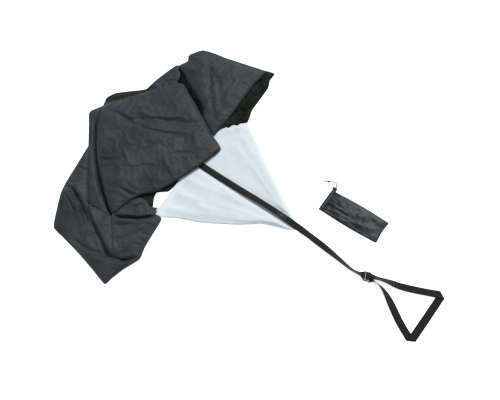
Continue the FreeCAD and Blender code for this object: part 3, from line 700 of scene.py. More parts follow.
# Each corner is x, y, the height that the cloth's edge lies at, and how far the edge turns
# in beneath. bulk is the heap's height above its edges and edge the width it rises over.
gores = {
    "gore_right_lower": {
        "outline": [(97, 567, 6, 8), (79, 536, 5, 8), (72, 499, 5, 8), (46, 452, 5, 8),
                    (8, 388, 5, 8), (-11, 330, 5, 8), (-70, 312, 6, 8), (-130, 285, 5, 8),
                    (-210, 330, 3, 8), (-270, 430, 3, 8), (-292, 520, 3, 8), (-286, 598, 3, 8),
                    (-190, 668, 3, 8), (-100, 636, 4, 8), (0, 603, 6, 8)],
        "bulk": 5, "edge": 30, "spacing": 9, "excess": 0.04, "seed": 4, "inside": True,
        "billows": ((60, 3.0), (26, 3.0)),
        # The rim colour here is painted shade: the black of the gap between the upper gores over
        # it.
        "rim": {"lines": [[(-270, 560), (-236, 480), (-196, 405), (-150, 310)]], "width": 44,
                "amount": 1.0},
        "folds": [("ridge", [(84, 548), (50, 505), (10, 440), (-20, 385)], 6, 9),
                  ("groove", [(20, 425), (-8, 388), (-40, 350)], 6, 6),
                  ("groove", [(52, 470), (18, 455), (-15, 430)], 5, 5),
                  ("groove", [(-5, 345), (-30, 360), (-60, 350)], 5, 5),
                  ("ridge", [(0, 372), (-26, 345), (-60, 330)], 5, 6),
                  ("groove", [(70, 515), (40, 530), (20, 520)], 5, 5)],
    },
    "gore_middle_lower": {
        "outline": [(-578, 372, 2.5, 6), (-561, 412, 4, 8), (-553, 447, 4, 8), (-522, 469, 4, 8),
                    (-466, 479, 4, 8), (-405, 489, 4, 8), (-376, 526, 4, 8), (-344, 561, 4, 8),
                    (-290, 611, 4, 8), (-258, 580, 3, 8), (-248, 545, 3, 8),
                    (-250, 512, 3, 8), (-300, 430, 3, 8), (-280, 300, 3, 8),
                    (-280, 200, 3, 8), (-400, 90, 3, 8), (-505, 30, 2, 6),
                    (-538, 80, 2, 6), (-562, 160, 2, 6), (-577, 240, 2, 6), (-586, 318, 2, 6)],
        "bulk": 5, "edge": 40, "spacing": 10, "excess": 0.03, "seed": 6, "back": True,
        "folds": [("ridge", [(-540, 445), (-480, 462), (-415, 478)], 4, 9),
                  ("groove", [(-352, 515), (-310, 530), (-275, 528)], 4, 5)],
        # The rim colour here is painted shade, where the edges lie in the gaps.
        "rim": {"lines": [[(-545, 450), (-470, 470), (-400, 486)],
                          [(-590, 330), (-575, 235), (-562, 145), (-535, 45), (-500, -20)]],
                "width": 34, "amount": 0.9},
    },
    "gore_left_lower": {
        "outline": [(-250, 84, 4, 6), (-270, 52, 3, 6), (-286, 34, 3, 6), (-327, 30, 3, 6),
                    (-335, 4, 3, 6), (-335, -40, 3, 6), (-325, -72, 2, 6), (-345, -130, 2, 6),
                    (-385, -200, 2, 6), (-460, -270, 2, 6), (-545, -190, 2, 6),
                    (-630, -100, 2, 6), (-635, 0, 2, 6), (-570, 90, 2, 6), (-450, 110, 3, 6),
                    (-330, 112, 4, 6)],
        "bulk": 3, "edge": 25, "spacing": 10, "excess": 0.03, "seed": 8, "inside": True,
        "billows": ((60, 1.5), (26, 1.5)),
        "folds": [("groove", [(-345, 70), (-320, 62), (-280, 66)], 3, 5)],
    },
    "gore_right_upper": {
        "outline": [(-284, 607, 7, 10), (-249, 632, 8, 10), (-247, 663, 7, 10),
                    (-192, 689, 7, 10), (-142, 672, 7, 10), (-97, 648, 7, 10), (0, 607, 7, 10),
                    (62, 579, 9, 12), (47, 553, 16, 20), (16, 511, 18, 22), (-23, 445, 18, 22),
                    (-53, 393, 17, 22), (-94, 327, 15, 18), (-120, 290, 12, 10),
                    (-136, 272, 12, 8), (-160, 315, 14, 8), (-177, 352, 13, 8),
                    (-178, 388, 12, 6), (-189, 418, 12, 5), (-214, 466, 12, 5),
                    (-240, 514, 11, 5), (-262, 562, 9, 5)],
        "bulk": 17, "edge": 70, "spacing": 8, "excess": 0.02, "seed": 2,
        "folds": [("hollow", [(-191, 691), (-175, 636), (-160, 559), (-150, 450)], 5, 18),
                  ("ridge", [(-238, 622), (-205, 540), (-165, 430), (-150, 360)], 4, 18),
                  ("hollow", [(-132, 560), (-120, 470), (-108, 380)], 3, 16),
                  ("ridge", [(-92, 600), (-82, 500), (-96, 400)], 2.5, 20),
                  ("ridge", [(-20, 585), (-40, 520), (-62, 440)], 2.5, 18),
                  ("groove", [(-95, 632), (-30, 607), (30, 580)], 2.5, 6),
                  ("hollow", [(-150, 450), (-140, 380), (-132, 320)], 3, 12)],
        "rim": {"lines": [[(30, 575), (55, 560), (35, 535)]], "width": 22, "amount": 0.4},
    },
    "gore_side_fold": {
        "outline": [(-611, 374, 3, 6), (-604, 386, 4, 6), (-582, 398, 6, 6), (-560, 410, 7, 6),
                    (-560, 394, 6, 6), (-572, 362, 6, 5), (-581, 318, 4, 4),
                    (-570, 229, 4, 4), (-556, 143, 4, 4), (-528, 48, 5, 5), (-494, -37, 8, 6),
                    (-480, -58, 8, 6), (-500, -52, 8, 8), (-530, -34, 8, 8),
                    (-562, -12, 7, 8), (-577, 80, 6, 8), (-587, 164, 5, 6),
                    (-596, 251, 3, 6), (-607, 341, 3, 6)],
        "bulk": 9, "edge": 18, "spacing": 6, "excess": 0.03, "seed": 11,
        "billows": ((90, 2.0), (40, 1.5)),
        "folds": [("groove", [(-597, 378), (-588, 330), (-590, 270), (-585, 200)], 4, 4),
                  ("ridge", [(-573, 120), (-550, 80), (-520, -20)], 3, 8),
                  ("groove", [(-560, 90), (-545, 100), (-532, 92)], 3, 4)],
    },
    "gore_left_outer": {
        "outline": [*turnedIn(leftWing["outline"][:9], 6),
                    (-467, -307, 2.5, 6), (-458, -270, 7, 2), (-454, -240, 9, 2),
                    (-452, -214, 10, 2), (-458, -180, 16, 2), (-466, -120, 15, 2),
                    (-474, -66, 12, 2), *turnedIn(leftWing["outline"][21:], 5)],
        "spacing": 6.5, "excess": 0.015, "heap": leftWing, "folds": leftWing["folds"],
    },
    "gore_left_inner": {
        "outline": [(-466, -306, 2.5, 5), *turnedIn(leftWing["outline"][10:15], 6),
                    (-303, -77, 1.8, 6), (-307, -64, 1.8, 6), (-309, -50, 1.8, 6),
                    (-311, -33, 1.8, 6), (-322, -29, 3, 6), (-346, -26, 6, 6), (-362, 0, 8, 6),
                    (-391, 12, 8, 6), (-425, 6, 7, 6), (-457, -22, 7, 6), (-477, -62, 11, 3),
                    (-470, -120, 15, 2), (-462, -180, 16, 2), (-456, -214, 10, 2),
                    (-458, -240, 9, 2), (-462, -270, 7, 2)],
        "spacing": 6.5, "excess": 0.015, "raised": 0.7, "heap": leftWing,
        "folds": leftWing["folds"],
    },
    "gore_middle_upper": {
        "outline": [(-567, 385, 12, 8), (-549, 418, 10, 8), (-482, 445, 10, 8),
                    (-403, 474, 9, 8), (-351, 500, 9, 8), (-270, 520, 12, 8),
                    (-258, 512, 18, 8), (-232, 460, 22, 8), (-207, 412, 22, 8),
                    (-181, 357, 19, 8), (-161, 316, 16, 8), (-139, 272, 13, 8),
                    (-107, 213, 12, 8), (-140, 176, 14, 20), (-183, 139, 16, 24),
                    (-257, 80, 16, 24), (-328, 36, 15, 24), (-387, 18, 15, 24),
                    (-430, -14, 14, 20), (-472, -54, 13, 10), (-487, -31, 15, 8),
                    (-513, 32, 16, 8), (-541, 122, 18, 8), (-560, 207, 18, 8),
                    (-568, 300, 17, 8)],
        "bulk": 15, "edge": 70, "spacing": 8, "excess": 0.022, "seed": 3,
        "folds": [("lap", [(-240, 264), (-278, 266), (-327, 278), (-372, 291), (-400, 300),
                           (-440, 322)], 8, 7),
                  ("hollow", [(-560, 395), (-492, 362), (-450, 335), (-420, 312)], 7, 12),
                  ("hollow", [(-440, 344), (-339, 337), (-225, 326), (-186, 332)], 7, 18),
                  ("ridge", [(-400, 312), (-320, 296), (-220, 290)], 4, 11),
                  ("groove", [(-557, 171), (-523, 164), (-500, 168), (-476, 178)], 6, 6),
                  ("groove", [(-470, 56), (-440, 38), (-403, 12)], 6, 6),
                  ("groove", [(-384, 200), (-360, 222), (-330, 240)], 3, 6),
                  ("groove", [(-300, 180), (-250, 196), (-200, 190)], 3, 6),
                  ("groove", [(-430, 130), (-380, 140), (-320, 132)], 2.5, 6),
                  ("groove", [(-186, 338), (-200, 332), (-216, 320)], 5, 5),
                  ("groove", [(-176, 318), (-192, 312), (-206, 300)], 5, 5),
                  ("groove", [(-166, 300), (-182, 290), (-192, 276)], 4, 5),
                  ("ridge", [(-124, 238), (-150, 205), (-192, 165)], 3, 6)],
        "rim": {"lines": [[(-112, 218), (-145, 182), (-185, 145)]], "width": 28, "amount": 0.8},
    },
}
canopy = [clothPiece(name, look, shadedInsideCloth if look.get("inside")
                     else backCloth if look.get("back") else canopyCloth)
          for name, look in gores.items()]
print("canopy cut", [len(p.data.vertices) for p in canopy])
settle(canopy, gores)
print("canopy settled")
clothOf = {nodeOf(piece): piece for piece in canopy}


def tuckBelow(lower, uppers, space=2.5, above=0.2):
    # keeps a lower layer under the ones that lie on it, looking down from above them all
    trees = [BVHTree.FromPolygons([v.co for v in upper.data.vertices],
                                  [p.vertices for p in upper.data.polygons]) for upper in uppers]
    for vertex in lower.data.vertices:
        for tree in trees:
            hit = tree.ray_cast(Vector((vertex.co.x, vertex.co.y, above)), Vector((0, 0, -1)))[0]
            if hit and vertex.co.z > hit.z - space / 1000:
                vertex.co.z = max(hit.z - space / 1000, 0.0006)


upperGores = [clothOf[name] for name in ("gore_right_upper", "gore_middle_upper",
                                         "gore_side_fold", "gore_left_outer",
                                         "gore_left_inner")]
for name in ("gore_right_lower", "gore_middle_lower", "gore_left_lower"):
    tuckBelow(clothOf[name], upperGores)
tuckBelow(clothOf["gore_left_outer"], [clothOf["gore_side_fold"], clothOf["gore_middle_upper"]])
tuckBelow(clothOf["gore_left_inner"], [clothOf["gore_middle_upper"]])


def finishSheet(piece, thick):
    skin = piece.modifiers.new("thickness", "SOLIDIFY")
    skin.thickness = thick / 1000
    skin.offset = -1
    finer = piece.modifiers.new("finer", "SUBSURF")
    finer.levels = finer.render_levels = 1


# Each gore gets the cloth's thickness and one level of subdivision, and goes to its place.
clothThick = 0.5
for piece in canopy:
    finishSheet(piece, clothThick)
    takePlace(piece, nodeOf(piece))


# Seams and hems lie on the settled cloth: each line is seen from the camera's place, and a
# strip follows the cloth beneath it.
trims = {
    "seam_right": {"on": "gore_middle_upper", "width": 8,
                   "line": [(-262, 508), (-237, 458), (-212, 410), (-186, 354), (-166, 312),
                            (-145, 273)]},
    "seam_side": {"on": "gore_middle_upper", "width": 6,
                  "line": [(-562, 380), (-562, 300), (-554, 208), (-535, 123), (-507, 34),
                           (-483, -28)]},
    "seam_left": {"on": "gore_left_inner", "width": 5,
                  "line": [(-470, -70), (-463, -120), (-455, -180), (-450, -214),
                           (-452, -245), (-456, -285)]},
    "rim_hem_right": {"on": "gore_right_upper", "width": 9,
                      "line": [(41, 551), (9, 512), (-30, 447), (-60, 395), (-100, 332),
                               (-124, 297)]},
    "rim_hem_middle": {"on": "gore_middle_upper", "width": 9,
                       "line": [(-113, 219), (-145, 182), (-188, 146), (-260, 88), (-330, 43),
                                (-388, 25), (-430, -5), (-467, -42)]},
    "rim_hem_left": {"on": "gore_left_inner", "width": 9,
                     "line": [(-440, -275), (-409, -249), (-370, -216), (-357, -177),
                              (-337, -133), (-312, -84)]},
    "mesh_hem": {"on": "mesh_upper", "width": 7,
                 "line": [(132, -110), (47, -88), (-40, -90), (-168, -81), (-238, -66),
                          (-298, -62)]},
}


stripLanes, stripThick = 5, 0.7


def stripOn(name, look, ground, material):
    tree = BVHTree.FromPolygons([v.co for v in ground.data.vertices],
                                [p.vertices for p in ground.data.polygons])
    start = place(*eye)
    line = smoothLine(look["line"], 6)
    way = np.gradient(line, axis=0)
    across = np.column_stack([-way[:, 1], way[:, 0]]) / np.linalg.norm(way, axis=1)[:, None]
    lanes = np.linspace(-0.5, 0.5, stripLanes) * look["width"]
    points, uvs = [], []
    travelled = np.concatenate([[0], np.cumsum(np.linalg.norm(np.diff(line, axis=0), axis=1))])
    for spot, side, run in zip(line, across, travelled):
        for lane in lanes:
            seen = place(*(spot + side * lane))
            hit, normal, _, _ = tree.ray_cast(start, seen - start)
            if hit is None or (seen - hit).length > 0.12:
                hit, normal, _, _ = tree.find_nearest(seen)
            if normal.z < 0:
                normal = -normal
            proud = 0.7 if abs(lane) < look["width"] * 0.4 else 0.2
            points.append(hit + normal * proud / 1000)
            uvs.append((run / 1000, lane / 1000))
    piece = newPiece(name + "_strip", points, gridFaces(len(line), stripLanes), uvs, material)
    worn = piece.data.attributes.new("worn", "FLOAT", "POINT")
    worn.data.foreach_set("value", np.zeros(len(points)))
    eased = piece.modifiers.new("eased", "SMOOTH")
    eased.iterations = 2
    finishSheet(piece, stripThick)
    takePlace(piece, name)


# The mesh cone, pressed flat: two layers that meet at the point where the strap is sewn in.
# Folds fan out from that point to the places in fan.
meshPoint = (156, -108)
fan = [(-300, -30), (-262, 30), (-230, 90), (-190, -20), (-60, -70), (-110, 60), (-60, 240),
       (-25, 270), (20, 210)]
fanRidges = [("ridge", [meshPoint, ((x * 2 + meshPoint[0]) / 3, (y * 2 + meshPoint[1]) / 3),
                        (x, y)], 4.0, 16) for x, y in fan]
fanHollows = [("hollow", [meshPoint, (x * 0.6 + 55, y * 0.6 - 45), (x + 8, y + 22)], 1.6, 14)
              for x, y in fan]
meshLooks = {
    "mesh_lower": {
        "outline": [(-150, 280, 1.6, 2), (-100, 292, 1.6, 2), (-28, 312, 1.6, 2),
                    (64, 114, 1.4, 2), (146, -86, 1.4, 2), (156, -108, 1.4, 2),
                    (120, -112, 1.4, 2), (47, -92, 1.4, 2), (-40, -94, 1.4, 2),
                    (-169, -86, 1.4, 2), (-239, -72, 1.4, 2), (-282, -69, 1.4, 2),
                    (-290, -50, 1.4, 2), (-258, 22, 1.4, 2), (-236, 76, 1.4, 2),
                    (-230, 150, 1.6, 2)],
        "bulk": 0.6, "edge": 20, "spacing": 12, "seed": 21, "foot": 0.8, "floor": 0.8,
        "billows": ((90, 0.4),), "folds": [], "cut": (0.45, 0.43), "area": 0.113,
    },
    "mesh_upper": {
        "outline": [(-150, 270, 5, 3), (-134, 266, 6, 3), (-126, 284, 9, 3), (-115, 302, 6, 3),
                    (-105, 300, 10, 3), (-95, 324, 6, 3), (-86, 306, 11, 3), (-76, 306, 10, 3),
                    (-64, 322, 6, 3), (-50, 314, 10, 3), (-34, 326, 6, 3), (-18, 334, 5, 3),
                    (8, 278, 3, 3), (72, 118, 3, 3), (155, -83, 3, 3), (165, -112, 3, 3),
                    (136, -117, 3, 3), (47, -94, 3, 3),
                    (-40, -96, 3, 3), (-169, -88, 3, 3), (-239, -73, 3, 3), (-296, -68, 6, 3),
                    (-318, -60, 9, 3), (-332, -50, 10, 3), (-326, -41, 9, 3), (-286, 22, 5, 3),
                    (-256, 74, 5, 3), (-235, 140, 4, 3), (-190, 225, 4, 3)],
        "bulk": 1.6, "edge": 30, "spacing": 6.5, "seed": 22, "foot": 1.5, "floor": 2.9,
        "billows": ((70, 1.2), (30, 0.8)),
        "folds": fanRidges + fanHollows,
        "cut": (0.50, 0.46), "area": 0.13, "on": "mesh_lower_net",
        "press": {"line": [(-214, 168), (-89, 73), (69, -33), (160, -104)], "to": 3.9,
                  "width": 15},
    },
}


netThick = 0.35


def meshPiece(name, look):
    spots, faces, edge = flatCloth(look)
    heights = heapHeights(spots, edge, look)
    if "press" in look:
        near = toLine(spots, np.array(look["press"]["line"], float))[0]
        hold = 1 - smoothStep(near, look["press"]["width"], look["press"]["width"] * 1.8)
        heights = heights * (1 - hold) + np.minimum(heights, look["press"]["to"]) * hold
    points = lean(spots, heights)
    piece = newPiece(name + "_net", [place(*p) for p in points], faces, spots / 1000, netCloth)
    finishSheet(piece, netThick)
    takePlace(piece, name)
    return piece


netOf = {name: meshPiece(name, look) for name, look in meshLooks.items()}
hemNet = makeNet()
hemNet.name = "whiteNetHem"
for name, look in trims.items():
    ground = clothOf.get(look["on"]) or netOf[look["on"]]
    if name == "mesh_hem":
        stripOn(name, look, ground, hemNet)
    else:
        stripOn(name, look, ground, canopyCloth)
print("mesh, seams and hems laid")

# Webbing: the tow strap, the waist loop and its sewn-back tail.
# lying, onMesh and overFold are the heights that it rests at on the floor and on the mesh,
# and what a fold adds; the tail is sewn down between tailFrom and tailTo.
strap = {"width": 25, "thick": 1.5, "lying": 0.8, "onMesh": 5.3, "overFold": 2.6,
         "tailFrom": 396, "tailTo": 471, "tailGap": 1.75}
towRoute = [(-214, 168, 5.3), (-89, 73, 5.3), (69, -33, 10.5), (180, -121, 4.6),
            (236, -168, 2.2), (283, -214, 7.0), (330.5, -263, 10.5), (357, -275.5, 9.8),
            (366.5, -278.7, 4.4)]
loopOut = [(391.5, -285.2, 4.6), (400, -288, 10.4), (436, -299, 9.8), (476, -314, 2.4),
           (530, -328, 0.8), (612, -345, 3.4)]
loopAcross = [(612, -345, 0.8), (555, -416, 0.9), (494, -490, 3.4)]
loopBack = [(494, -490, 0.8), (468, -440, 0.9), (450, -383, 1.2), (432, -338, 8.5),
            (412, -312, 12.4), (396, -301, 12.4), (386, -297, 6)]
glide = {"turn": math.radians(-14), "firstBar": np.array([369.22, -279.45, 1.75]), "pitch": 10,
         "wrap": 2.6}
glideWay = np.array([math.cos(glide["turn"]), math.sin(glide["turn"]), 0])
glideSide = np.array([-glideWay[1], glideWay[0], 0])
upwards = np.array([0, 0, 1.0])


def nurbsCurve(name, route):
    # an open NURBS line with the route as its control points
    curve = bpy.data.curves.new(name, "CURVE")
    curve.dimensions = "3D"
    curve.resolution_u = 14
    spline = curve.splines.new("NURBS")
    spline.points.add(len(route) - 1)
    for point, spot in zip(spline.points, route):
        point.co = (*spot, 1)
    spline.order_u = 3
    spline.use_endpoint_u = True
    return curve


def nurbsPoints(route):
    holder = bpy.data.objects.new("route", nurbsCurve("route", route))
    bpy.context.collection.objects.link(holder)
    graph = bpy.context.evaluated_depsgraph_get()
    line = bpy.data.meshes.new_from_object(holder.evaluated_get(graph))
    points = np.array([tuple(v.co) for v in line.vertices])
    bpy.data.objects.remove(holder)
    return points


def legFrames(points, leans, base, shears=(0, 0), turned=1, reach=30, steepest=0.93):
    # Where the webbing stands up, it rests on one edge, so its height gives its roll.
    # Towards a fold its cross-lines slant to lie along the fold line.
    way = np.gradient(points, axis=0)
    way /= np.linalg.norm(way, axis=1)[:, None]
    run = np.concatenate([[0], np.cumsum(np.linalg.norm(np.diff(points, axis=0), axis=1))])
    frames = []
    for i, (spot, along) in enumerate(zip(points, way)):
        side = np.cross(upwards, along)
        side /= np.linalg.norm(side)
        normal = np.cross(along, side)
        high = np.clip((spot[2] - base(spot)) / (strap["width"] / 2), 0, steepest)
        roll = leans * math.asin(high)
        over = side * math.cos(roll) + normal * math.sin(roll)
        up = normal * math.cos(roll) - side * math.sin(roll)
        slant = (shears[0] * (1 - smoothStep(run[i], 0, reach))
                 + shears[1] * smoothStep(run[i], run[-1] - reach, run[-1]))
        frames.append((spot, turned * (over + along * slant), turned * up))
    return frames


def foldShear(into, out):
    # how far a cross-line slants at the fold, on the leg that arrives and the one that leaves
    fold = into + out
    fold = fold / np.linalg.norm(fold)
    return [fold @ leg / (fold @ np.cross(upwards, leg)) for leg in (into, out)]


def headingAt(points, end):
    way = points[-1] - points[-3] if end else points[2] - points[0]
    way = np.array([way[0], way[1], 0])
    return way / np.linalg.norm(way)


def turnOver(top, bottom, acrossLine, into, out):
    # the half turn round the fold line, from the upper layer down to the lower one
    outwards = into - out
    outwards = outwards / np.linalg.norm(outwards)
    centre, radius = (top + bottom) / 2, (top[2] - bottom[2]) / 2
    frames = []
    for angle in np.linspace(0, math.pi, 9)[1:-1]:
        normal = outwards * math.sin(angle) + upwards * math.cos(angle)
        frames.append((centre + normal * radius, acrossLine, normal))
    return frames


def ribbon(name, frames, material, width=None, thick=None):
    half, through = (width or strap["width"]) / 2, (thick or strap["thick"]) / 2
    ring = [(-1, -0.4), (-0.96, -1), (-0.6, -0.92), (-0.2, -0.92), (0.2, -0.92), (0.6, -0.92),
            (0.96, -1), (1, -0.4), (1, 0.4), (0.96, 1), (0.6, 0.92), (0.2, 0.92), (-0.2, 0.92),
            (-0.6, 0.92), (-0.96, 1), (-1, 0.4)]
    points, uvs, run, last = [], [], 0.0, None
    for spot, over, up in frames:
        if last is not None:
            run += np.linalg.norm(spot - last)
        last = spot
        for a, b in ring:
            points.append(place(*(spot + over * (a * half) + up * (b * through))))
            uvs.append((run / 1000, a * half / 1000))
    size = len(ring)
    faces = gridFaces(len(frames), size, tube=True, turned=True)
    faces.append(tuple(range(size)))
    faces.append(tuple(range(len(points) - 1, len(points) - size - 1, -1)))
    piece = newPiece(name, points, faces, uvs, material)
    for polygon in piece.data.polygons[-2:]:
        polygon.use_smooth = False
    return piece


def wrapFrames(bar, start, end, steps, radius):
    # webbing round a bar, between two angles from the glide's own direction, with the
    # radius that it has at each
    frames = []
    first, last = radius
    for share in np.linspace(0, 1, steps):
        angle = math.radians(start + (end - start) * share)
        out = glideWay * math.cos(angle) + upwards * math.sin(angle)
        frames.append((bar + out * (first + (last - first) * share), glideSide, out))
    return frames


def towBase(spot):
    onMesh = 1 - smoothStep(spot[0], 158, 205)
    return strap["lying"] + (strap["onMesh"] - strap["lying"]) * onMesh


def floorBase(spot):
    return strap["lying"]


def nearFoldBase(spot):
    # beside its fold the leg lies on the next one
    return strap["lying"] + strap["overFold"] * float(smoothStep(np.array(spot[0]), 560, 612))


def farFoldBase(spot):
    return strap["lying"] + strap["overFold"] * float(smoothStep(np.array(-spot[1]), 440, 490))


towPoints = nurbsPoints(towRoute)
towFrames = legFrames(towPoints, -1, towBase)
gentle = 6  # rows over which the strap turns to lie square to the glide
towEnd = wrapFrames(glide["firstBar"], 90, -5, 8, (glide["wrap"], 4.3))
for k in range(gentle):
    spot, over, up = towFrames[-1 - k]
    share = 1 - k / gentle
    over = over * (1 - share) + glideSide * share
    up = up * (1 - share) + upwards * share
    towFrames[-1 - k] = (spot, over / np.linalg.norm(over), up / np.linalg.norm(up))
towPiece = ribbon("tow_webbing", towFrames + towEnd, webbingWeave)
takePlace(towPiece, "tow_strap")

outPoints, acrossPoints, backPoints = (nurbsPoints(r) for r in (loopOut, loopAcross, loopBack))
nearInto, nearOut = headingAt(outPoints, True), headingAt(acrossPoints, False)
farInto, farOut = headingAt(acrossPoints, True), headingAt(backPoints, False)
nearShear, farShear = foldShear(nearInto, nearOut), foldShear(farInto, farOut)
outFrames = legFrames(outPoints, -1, nearFoldBase, (0, nearShear[0]), 1)
acrossFrames = legFrames(acrossPoints, 0, farFoldBase, (nearShear[1], farShear[0]), -1)
backFrames = legFrames(backPoints, 1, floorBase, (farShear[1], 0), 1)
loopFrames = (outFrames
              + turnOver(outPoints[-1], acrossPoints[0], outFrames[-1][1], nearInto, nearOut)
              + acrossFrames
              + turnOver(acrossPoints[-1], backPoints[0], acrossFrames[-1][1], farInto, farOut)
              + backFrames)
loopPiece = ribbon("waist_webbing", loopFrames, webbingWeave)
takePlace(loopPiece, "waist_loop")

thirdBar = glide["firstBar"] + glideWay * glide["pitch"] * 2
middleBar = glide["firstBar"] + glideWay * glide["pitch"]
tailFrames = wrapFrames(middleBar, 186, 90, 8, (3.6, glide["wrap"]))
tailFrames += wrapFrames(thirdBar, 90, 60, 3, (glide["wrap"] + 0.5, glide["wrap"] + 0.5))
for spot, over, up in outFrames:
    if strap["tailFrom"] < spot[0] < strap["tailTo"]:
        tailFrames.append((spot + up * strap["tailGap"], over, up))
takePlace(ribbon("waist_tail_webbing", tailFrames, webbingWeave), "loop_tail")


def towards(frames, x):
    return min(range(len(frames)), key=lambda i: abs(frames[i][0][0] - x))


stitching = {"inset": 3, "lift": 0.2, "wide": 1.1, "thick": 0.6, "lanes": (-1, -0.33, 0.33, 1)}


def boxStitches(name, node, frames, middle, length):
    # a sewn box with a cross in it, in rows of thread along the webbing
    first, last = towards(frames, middle - length / 2), towards(frames, middle + length / 2)
    span = frames[min(first, last):max(first, last) + 1]
    half = strap["width"] / 2 - stitching["inset"]
    high = strap["thick"] / 2 + stitching["lift"]
    lines = [[(f, lane * half) for f in span] for lane in stitching["lanes"]]
    for sign in (1, -1):
        lines.append([(f, sign * half * (2 * k / (len(span) - 1) - 1))
                      for k, f in enumerate(span)])
    for f in (span[0], span[-1]):
        lines.append([(f, lane) for lane in np.linspace(-half, half, 8)])
    pieces = []
    for number, line in enumerate(lines):
        rows = [(f[0] + f[1] * lane + f[2] * high, f[1], f[2]) for f, lane in line]
        if number >= len(lines) - 2:
            along = np.cross(rows[0][1], rows[0][2])
            rows = [(spot, along, up) for spot, _, up in rows]
        pieces.append(ribbon("%s_row%d" % (name, number), rows, seamThread, stitching["wide"],
                             stitching["thick"]))
    with bpy.context.temp_override(active_object=pieces[0], selected_editable_objects=pieces):
        bpy.ops.object.join()
    pieces[0].name = name
    takePlace(pieces[0], node)


boxStitches("rim_box_stitches", "strap_rim_stitches", towFrames, -198, 20)
boxStitches("apex_box_stitches", "strap_apex_stitches", towFrames, 110, 20)
boxStitches("tail_box_stitches", "loop_stitches", tailFrames, 452, 22)
for node, material in (("tri_glide", glidePlastic), ("cord_lock_barrel", lockPlastic),
                       ("cord_lock_plunger", lockPlastic), ("cord_lock_spring", lockSteel)):
    part = frame["nodes"][node]
    part.data.materials.clear()
    part.data.materials.append(material)
print("webbing laid")

# The pouch: a front and a back panel, with a drawn-up channel at the mouth.
pouch = {"length": 226, "width": 92, "mouth": 16, "puff": 6.2, "gather": 2.4, "corner": 7}


def pouchSide(s, v):
    # the outline: a slightly hollow closed end, rounded corners, and long sides that bow out
    x = pouch["mouth"] - 3 + (pouch["length"] - pouch["mouth"] + 3) * s
    x -= 3.5 * math.sin(math.pi * v) * s ** 4
    end = max(0.0, (x - (pouch["length"] - pouch["corner"])) / pouch["corner"])
    pull = pouch["corner"] * (1 - math.sqrt(max(0.0, 1 - min(end, 1) ** 2))) * 0.8
    bow = 3.4 * math.sin(math.pi * min(1, s * 1.05))
    half = pouch["width"] / 2 + bow - pull
    return x, pouch["width"] / 2 + (2 * v - 1) * half


def pouchPanel(name, node, upper):
    across, along = 34, 84
    points, uvs = [], []
    for i in range(along + 1):
        s = i / along
        for k in range(across + 1):
            v = k / across
            x, y = pouchSide(s, v)
            crown = (1 - abs(2 * v - 1) ** 2.4) ** 0.55 * (1 - s ** 9) ** 0.5
            z = 1.3
            if upper:
                drawn = math.exp(-(x - pouch["mouth"]) / 55)
                pleat = noise.noise(Vector((x / 75, y / 8.5, 3.1))) * 2.2
                pleat += noise.noise(Vector((x / 40, y / 4.2, 8.4))) * 0.9
                limp = noise.noise(Vector((x / 38 + y / 60, y / 26 - x / 70, 5.5)))
                dent = noise.noise(Vector((x / 16, y / 13, 1.5)))
                z += crown * (pouch["puff"] * (0.75 + 0.25 * drawn)
                              + pouch["gather"] * pleat * drawn + 3.4 * limp + 1.3 * dent)
                z -= 1.6 * math.exp(-((x - pouch["mouth"] - 3) / 2.2) ** 2) * crown
                z += 0.7 * math.exp(-((min(v, 1 - v) * pouch["width"] - 4) / 1.6) ** 2)
            else:
                z -= 0.8 * crown
            points.append(place(*onPouch(x, y, max(z, 0.4))))
            uvs.append((x / 1000, y / 1000))
    piece = newPiece(name, points, gridFaces(along + 1, across + 1, turned=True), uvs, pouchCloth)
    finishSheet(piece, clothThick)
    takePlace(piece, node)


pouchPanel("pouch_back_cloth", "pouch_back", False)
pouchPanel("pouch_front_cloth", "pouch_front", True)


# The channel is a soft tube round the cord, drawn up in small pleats.
channel = {"middle": 8.3, "height": 4.6, "halfWide": 8.0, "halfHigh": 3.7}


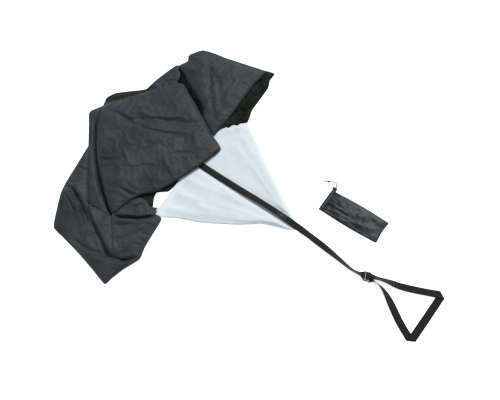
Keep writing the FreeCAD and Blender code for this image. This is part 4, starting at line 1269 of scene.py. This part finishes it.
def channelPiece():
    points, uvs = [], []
    around, along = 20, 60
    for i in range(along + 1):
        y = pouch["width"] * i / along
        pleat = noise.noise(Vector((y / 3.6, 0.3, 7.7)))
        fine = noise.noise(Vector((y / 1.9, 2.3, 4.7)))
        narrow = 1 - 0.12 * smoothStep(np.array(y), 70, 92)
        wide = (channel["halfWide"] + 0.6 * pleat) * float(narrow)
        for k in range(around):
            angle = 2 * math.pi * k / around
            rounder = 1 + 0.12 * pleat * math.sin(angle) + 0.05 * fine
            x = channel["middle"] + wide * math.cos(angle) * (1 + 0.03 * fine)
            z = channel["height"] + channel["halfHigh"] * math.sin(angle) * rounder * float(narrow)
            z = max(z, 0.4)
            inset = 1.2 * pleat * (1 - abs(2 * i / along - 1))
            points.append(place(*onPouch(x + 0.2 * inset, y, z)))
            uvs.append((y / 1000, k * 1.8 / 1000))
    piece = newPiece("pouch_channel_cloth", points, gridFaces(along + 1, around, tube=True), uvs,
                     pouchCloth)
    finishSheet(piece, clothThick)
    takePlace(piece, "pouch_channel")


channelPiece()

# Drawcord: its free end, out of the channel, through the lock, to a knot.
drawcord = {"radius": 1.7, "free": 0.088,
            "route": [(8, 84, 5.5), (8, 100, 5.5), (8, 113, 5.5), (0, 121, 5.5),
                      (-15, 119, 4.2), (-28, 112.5, 3.8), (-42, 108, 2.2)]}
curve = nurbsCurve("drawcord_line", [place(*onPouch(*p)) for p in drawcord["route"]])
curve.bevel_depth = drawcord["radius"] / 1000
curve.bevel_resolution = 4
curve.use_fill_caps = True
curve.materials.append(cordBraid)
cordPiece = bpy.data.objects.new("drawcord_line", curve)
bpy.context.collection.objects.link(cordPiece)
takePlace(cordPiece, "drawcord")


knot = {"at": (-28, 112.8, 3.9), "reach": 1.45, "swing": 0.8, "rise": 1.1, "cord": 1.5}


def knotPiece():
    # an overhand knot pulled tight: a small trefoil of the same cord
    centre = np.array(onPouch(*knot["at"]))
    points = []
    steps, around, radius = 72, 10, knot["cord"]
    path = []
    for i in range(steps):
        t = 2 * math.pi * i / steps
        reach = knot["reach"] + knot["swing"] * math.cos(3 * t)
        path.append(np.array([reach * math.cos(2 * t) * 1.3, reach * math.sin(2 * t),
                              knot["rise"] * math.sin(3 * t)]))
    path = np.array(path)
    for i in range(steps):
        along = path[(i + 1) % steps] - path[i - 1]
        along /= np.linalg.norm(along)
        side = np.cross(along, [0.2, 0.1, 1.0])
        side /= np.linalg.norm(side)
        up = np.cross(side, along)
        for k in range(around):
            angle = 2 * math.pi * k / around
            points.append(place(*(centre + path[i]
                                  + radius * (side * math.cos(angle) + up * math.sin(angle)))))
    faces = [tuple(corner % len(points) for corner in face)
             for face in gridFaces(steps + 1, around, tube=True)]
    piece = newPiece("drawcord_end_knot", points, faces, [(0, 0)] * len(points), cordBraid)
    takePlace(piece, "drawcord_knot")


knotPiece()
print("pouch and drawcord made")
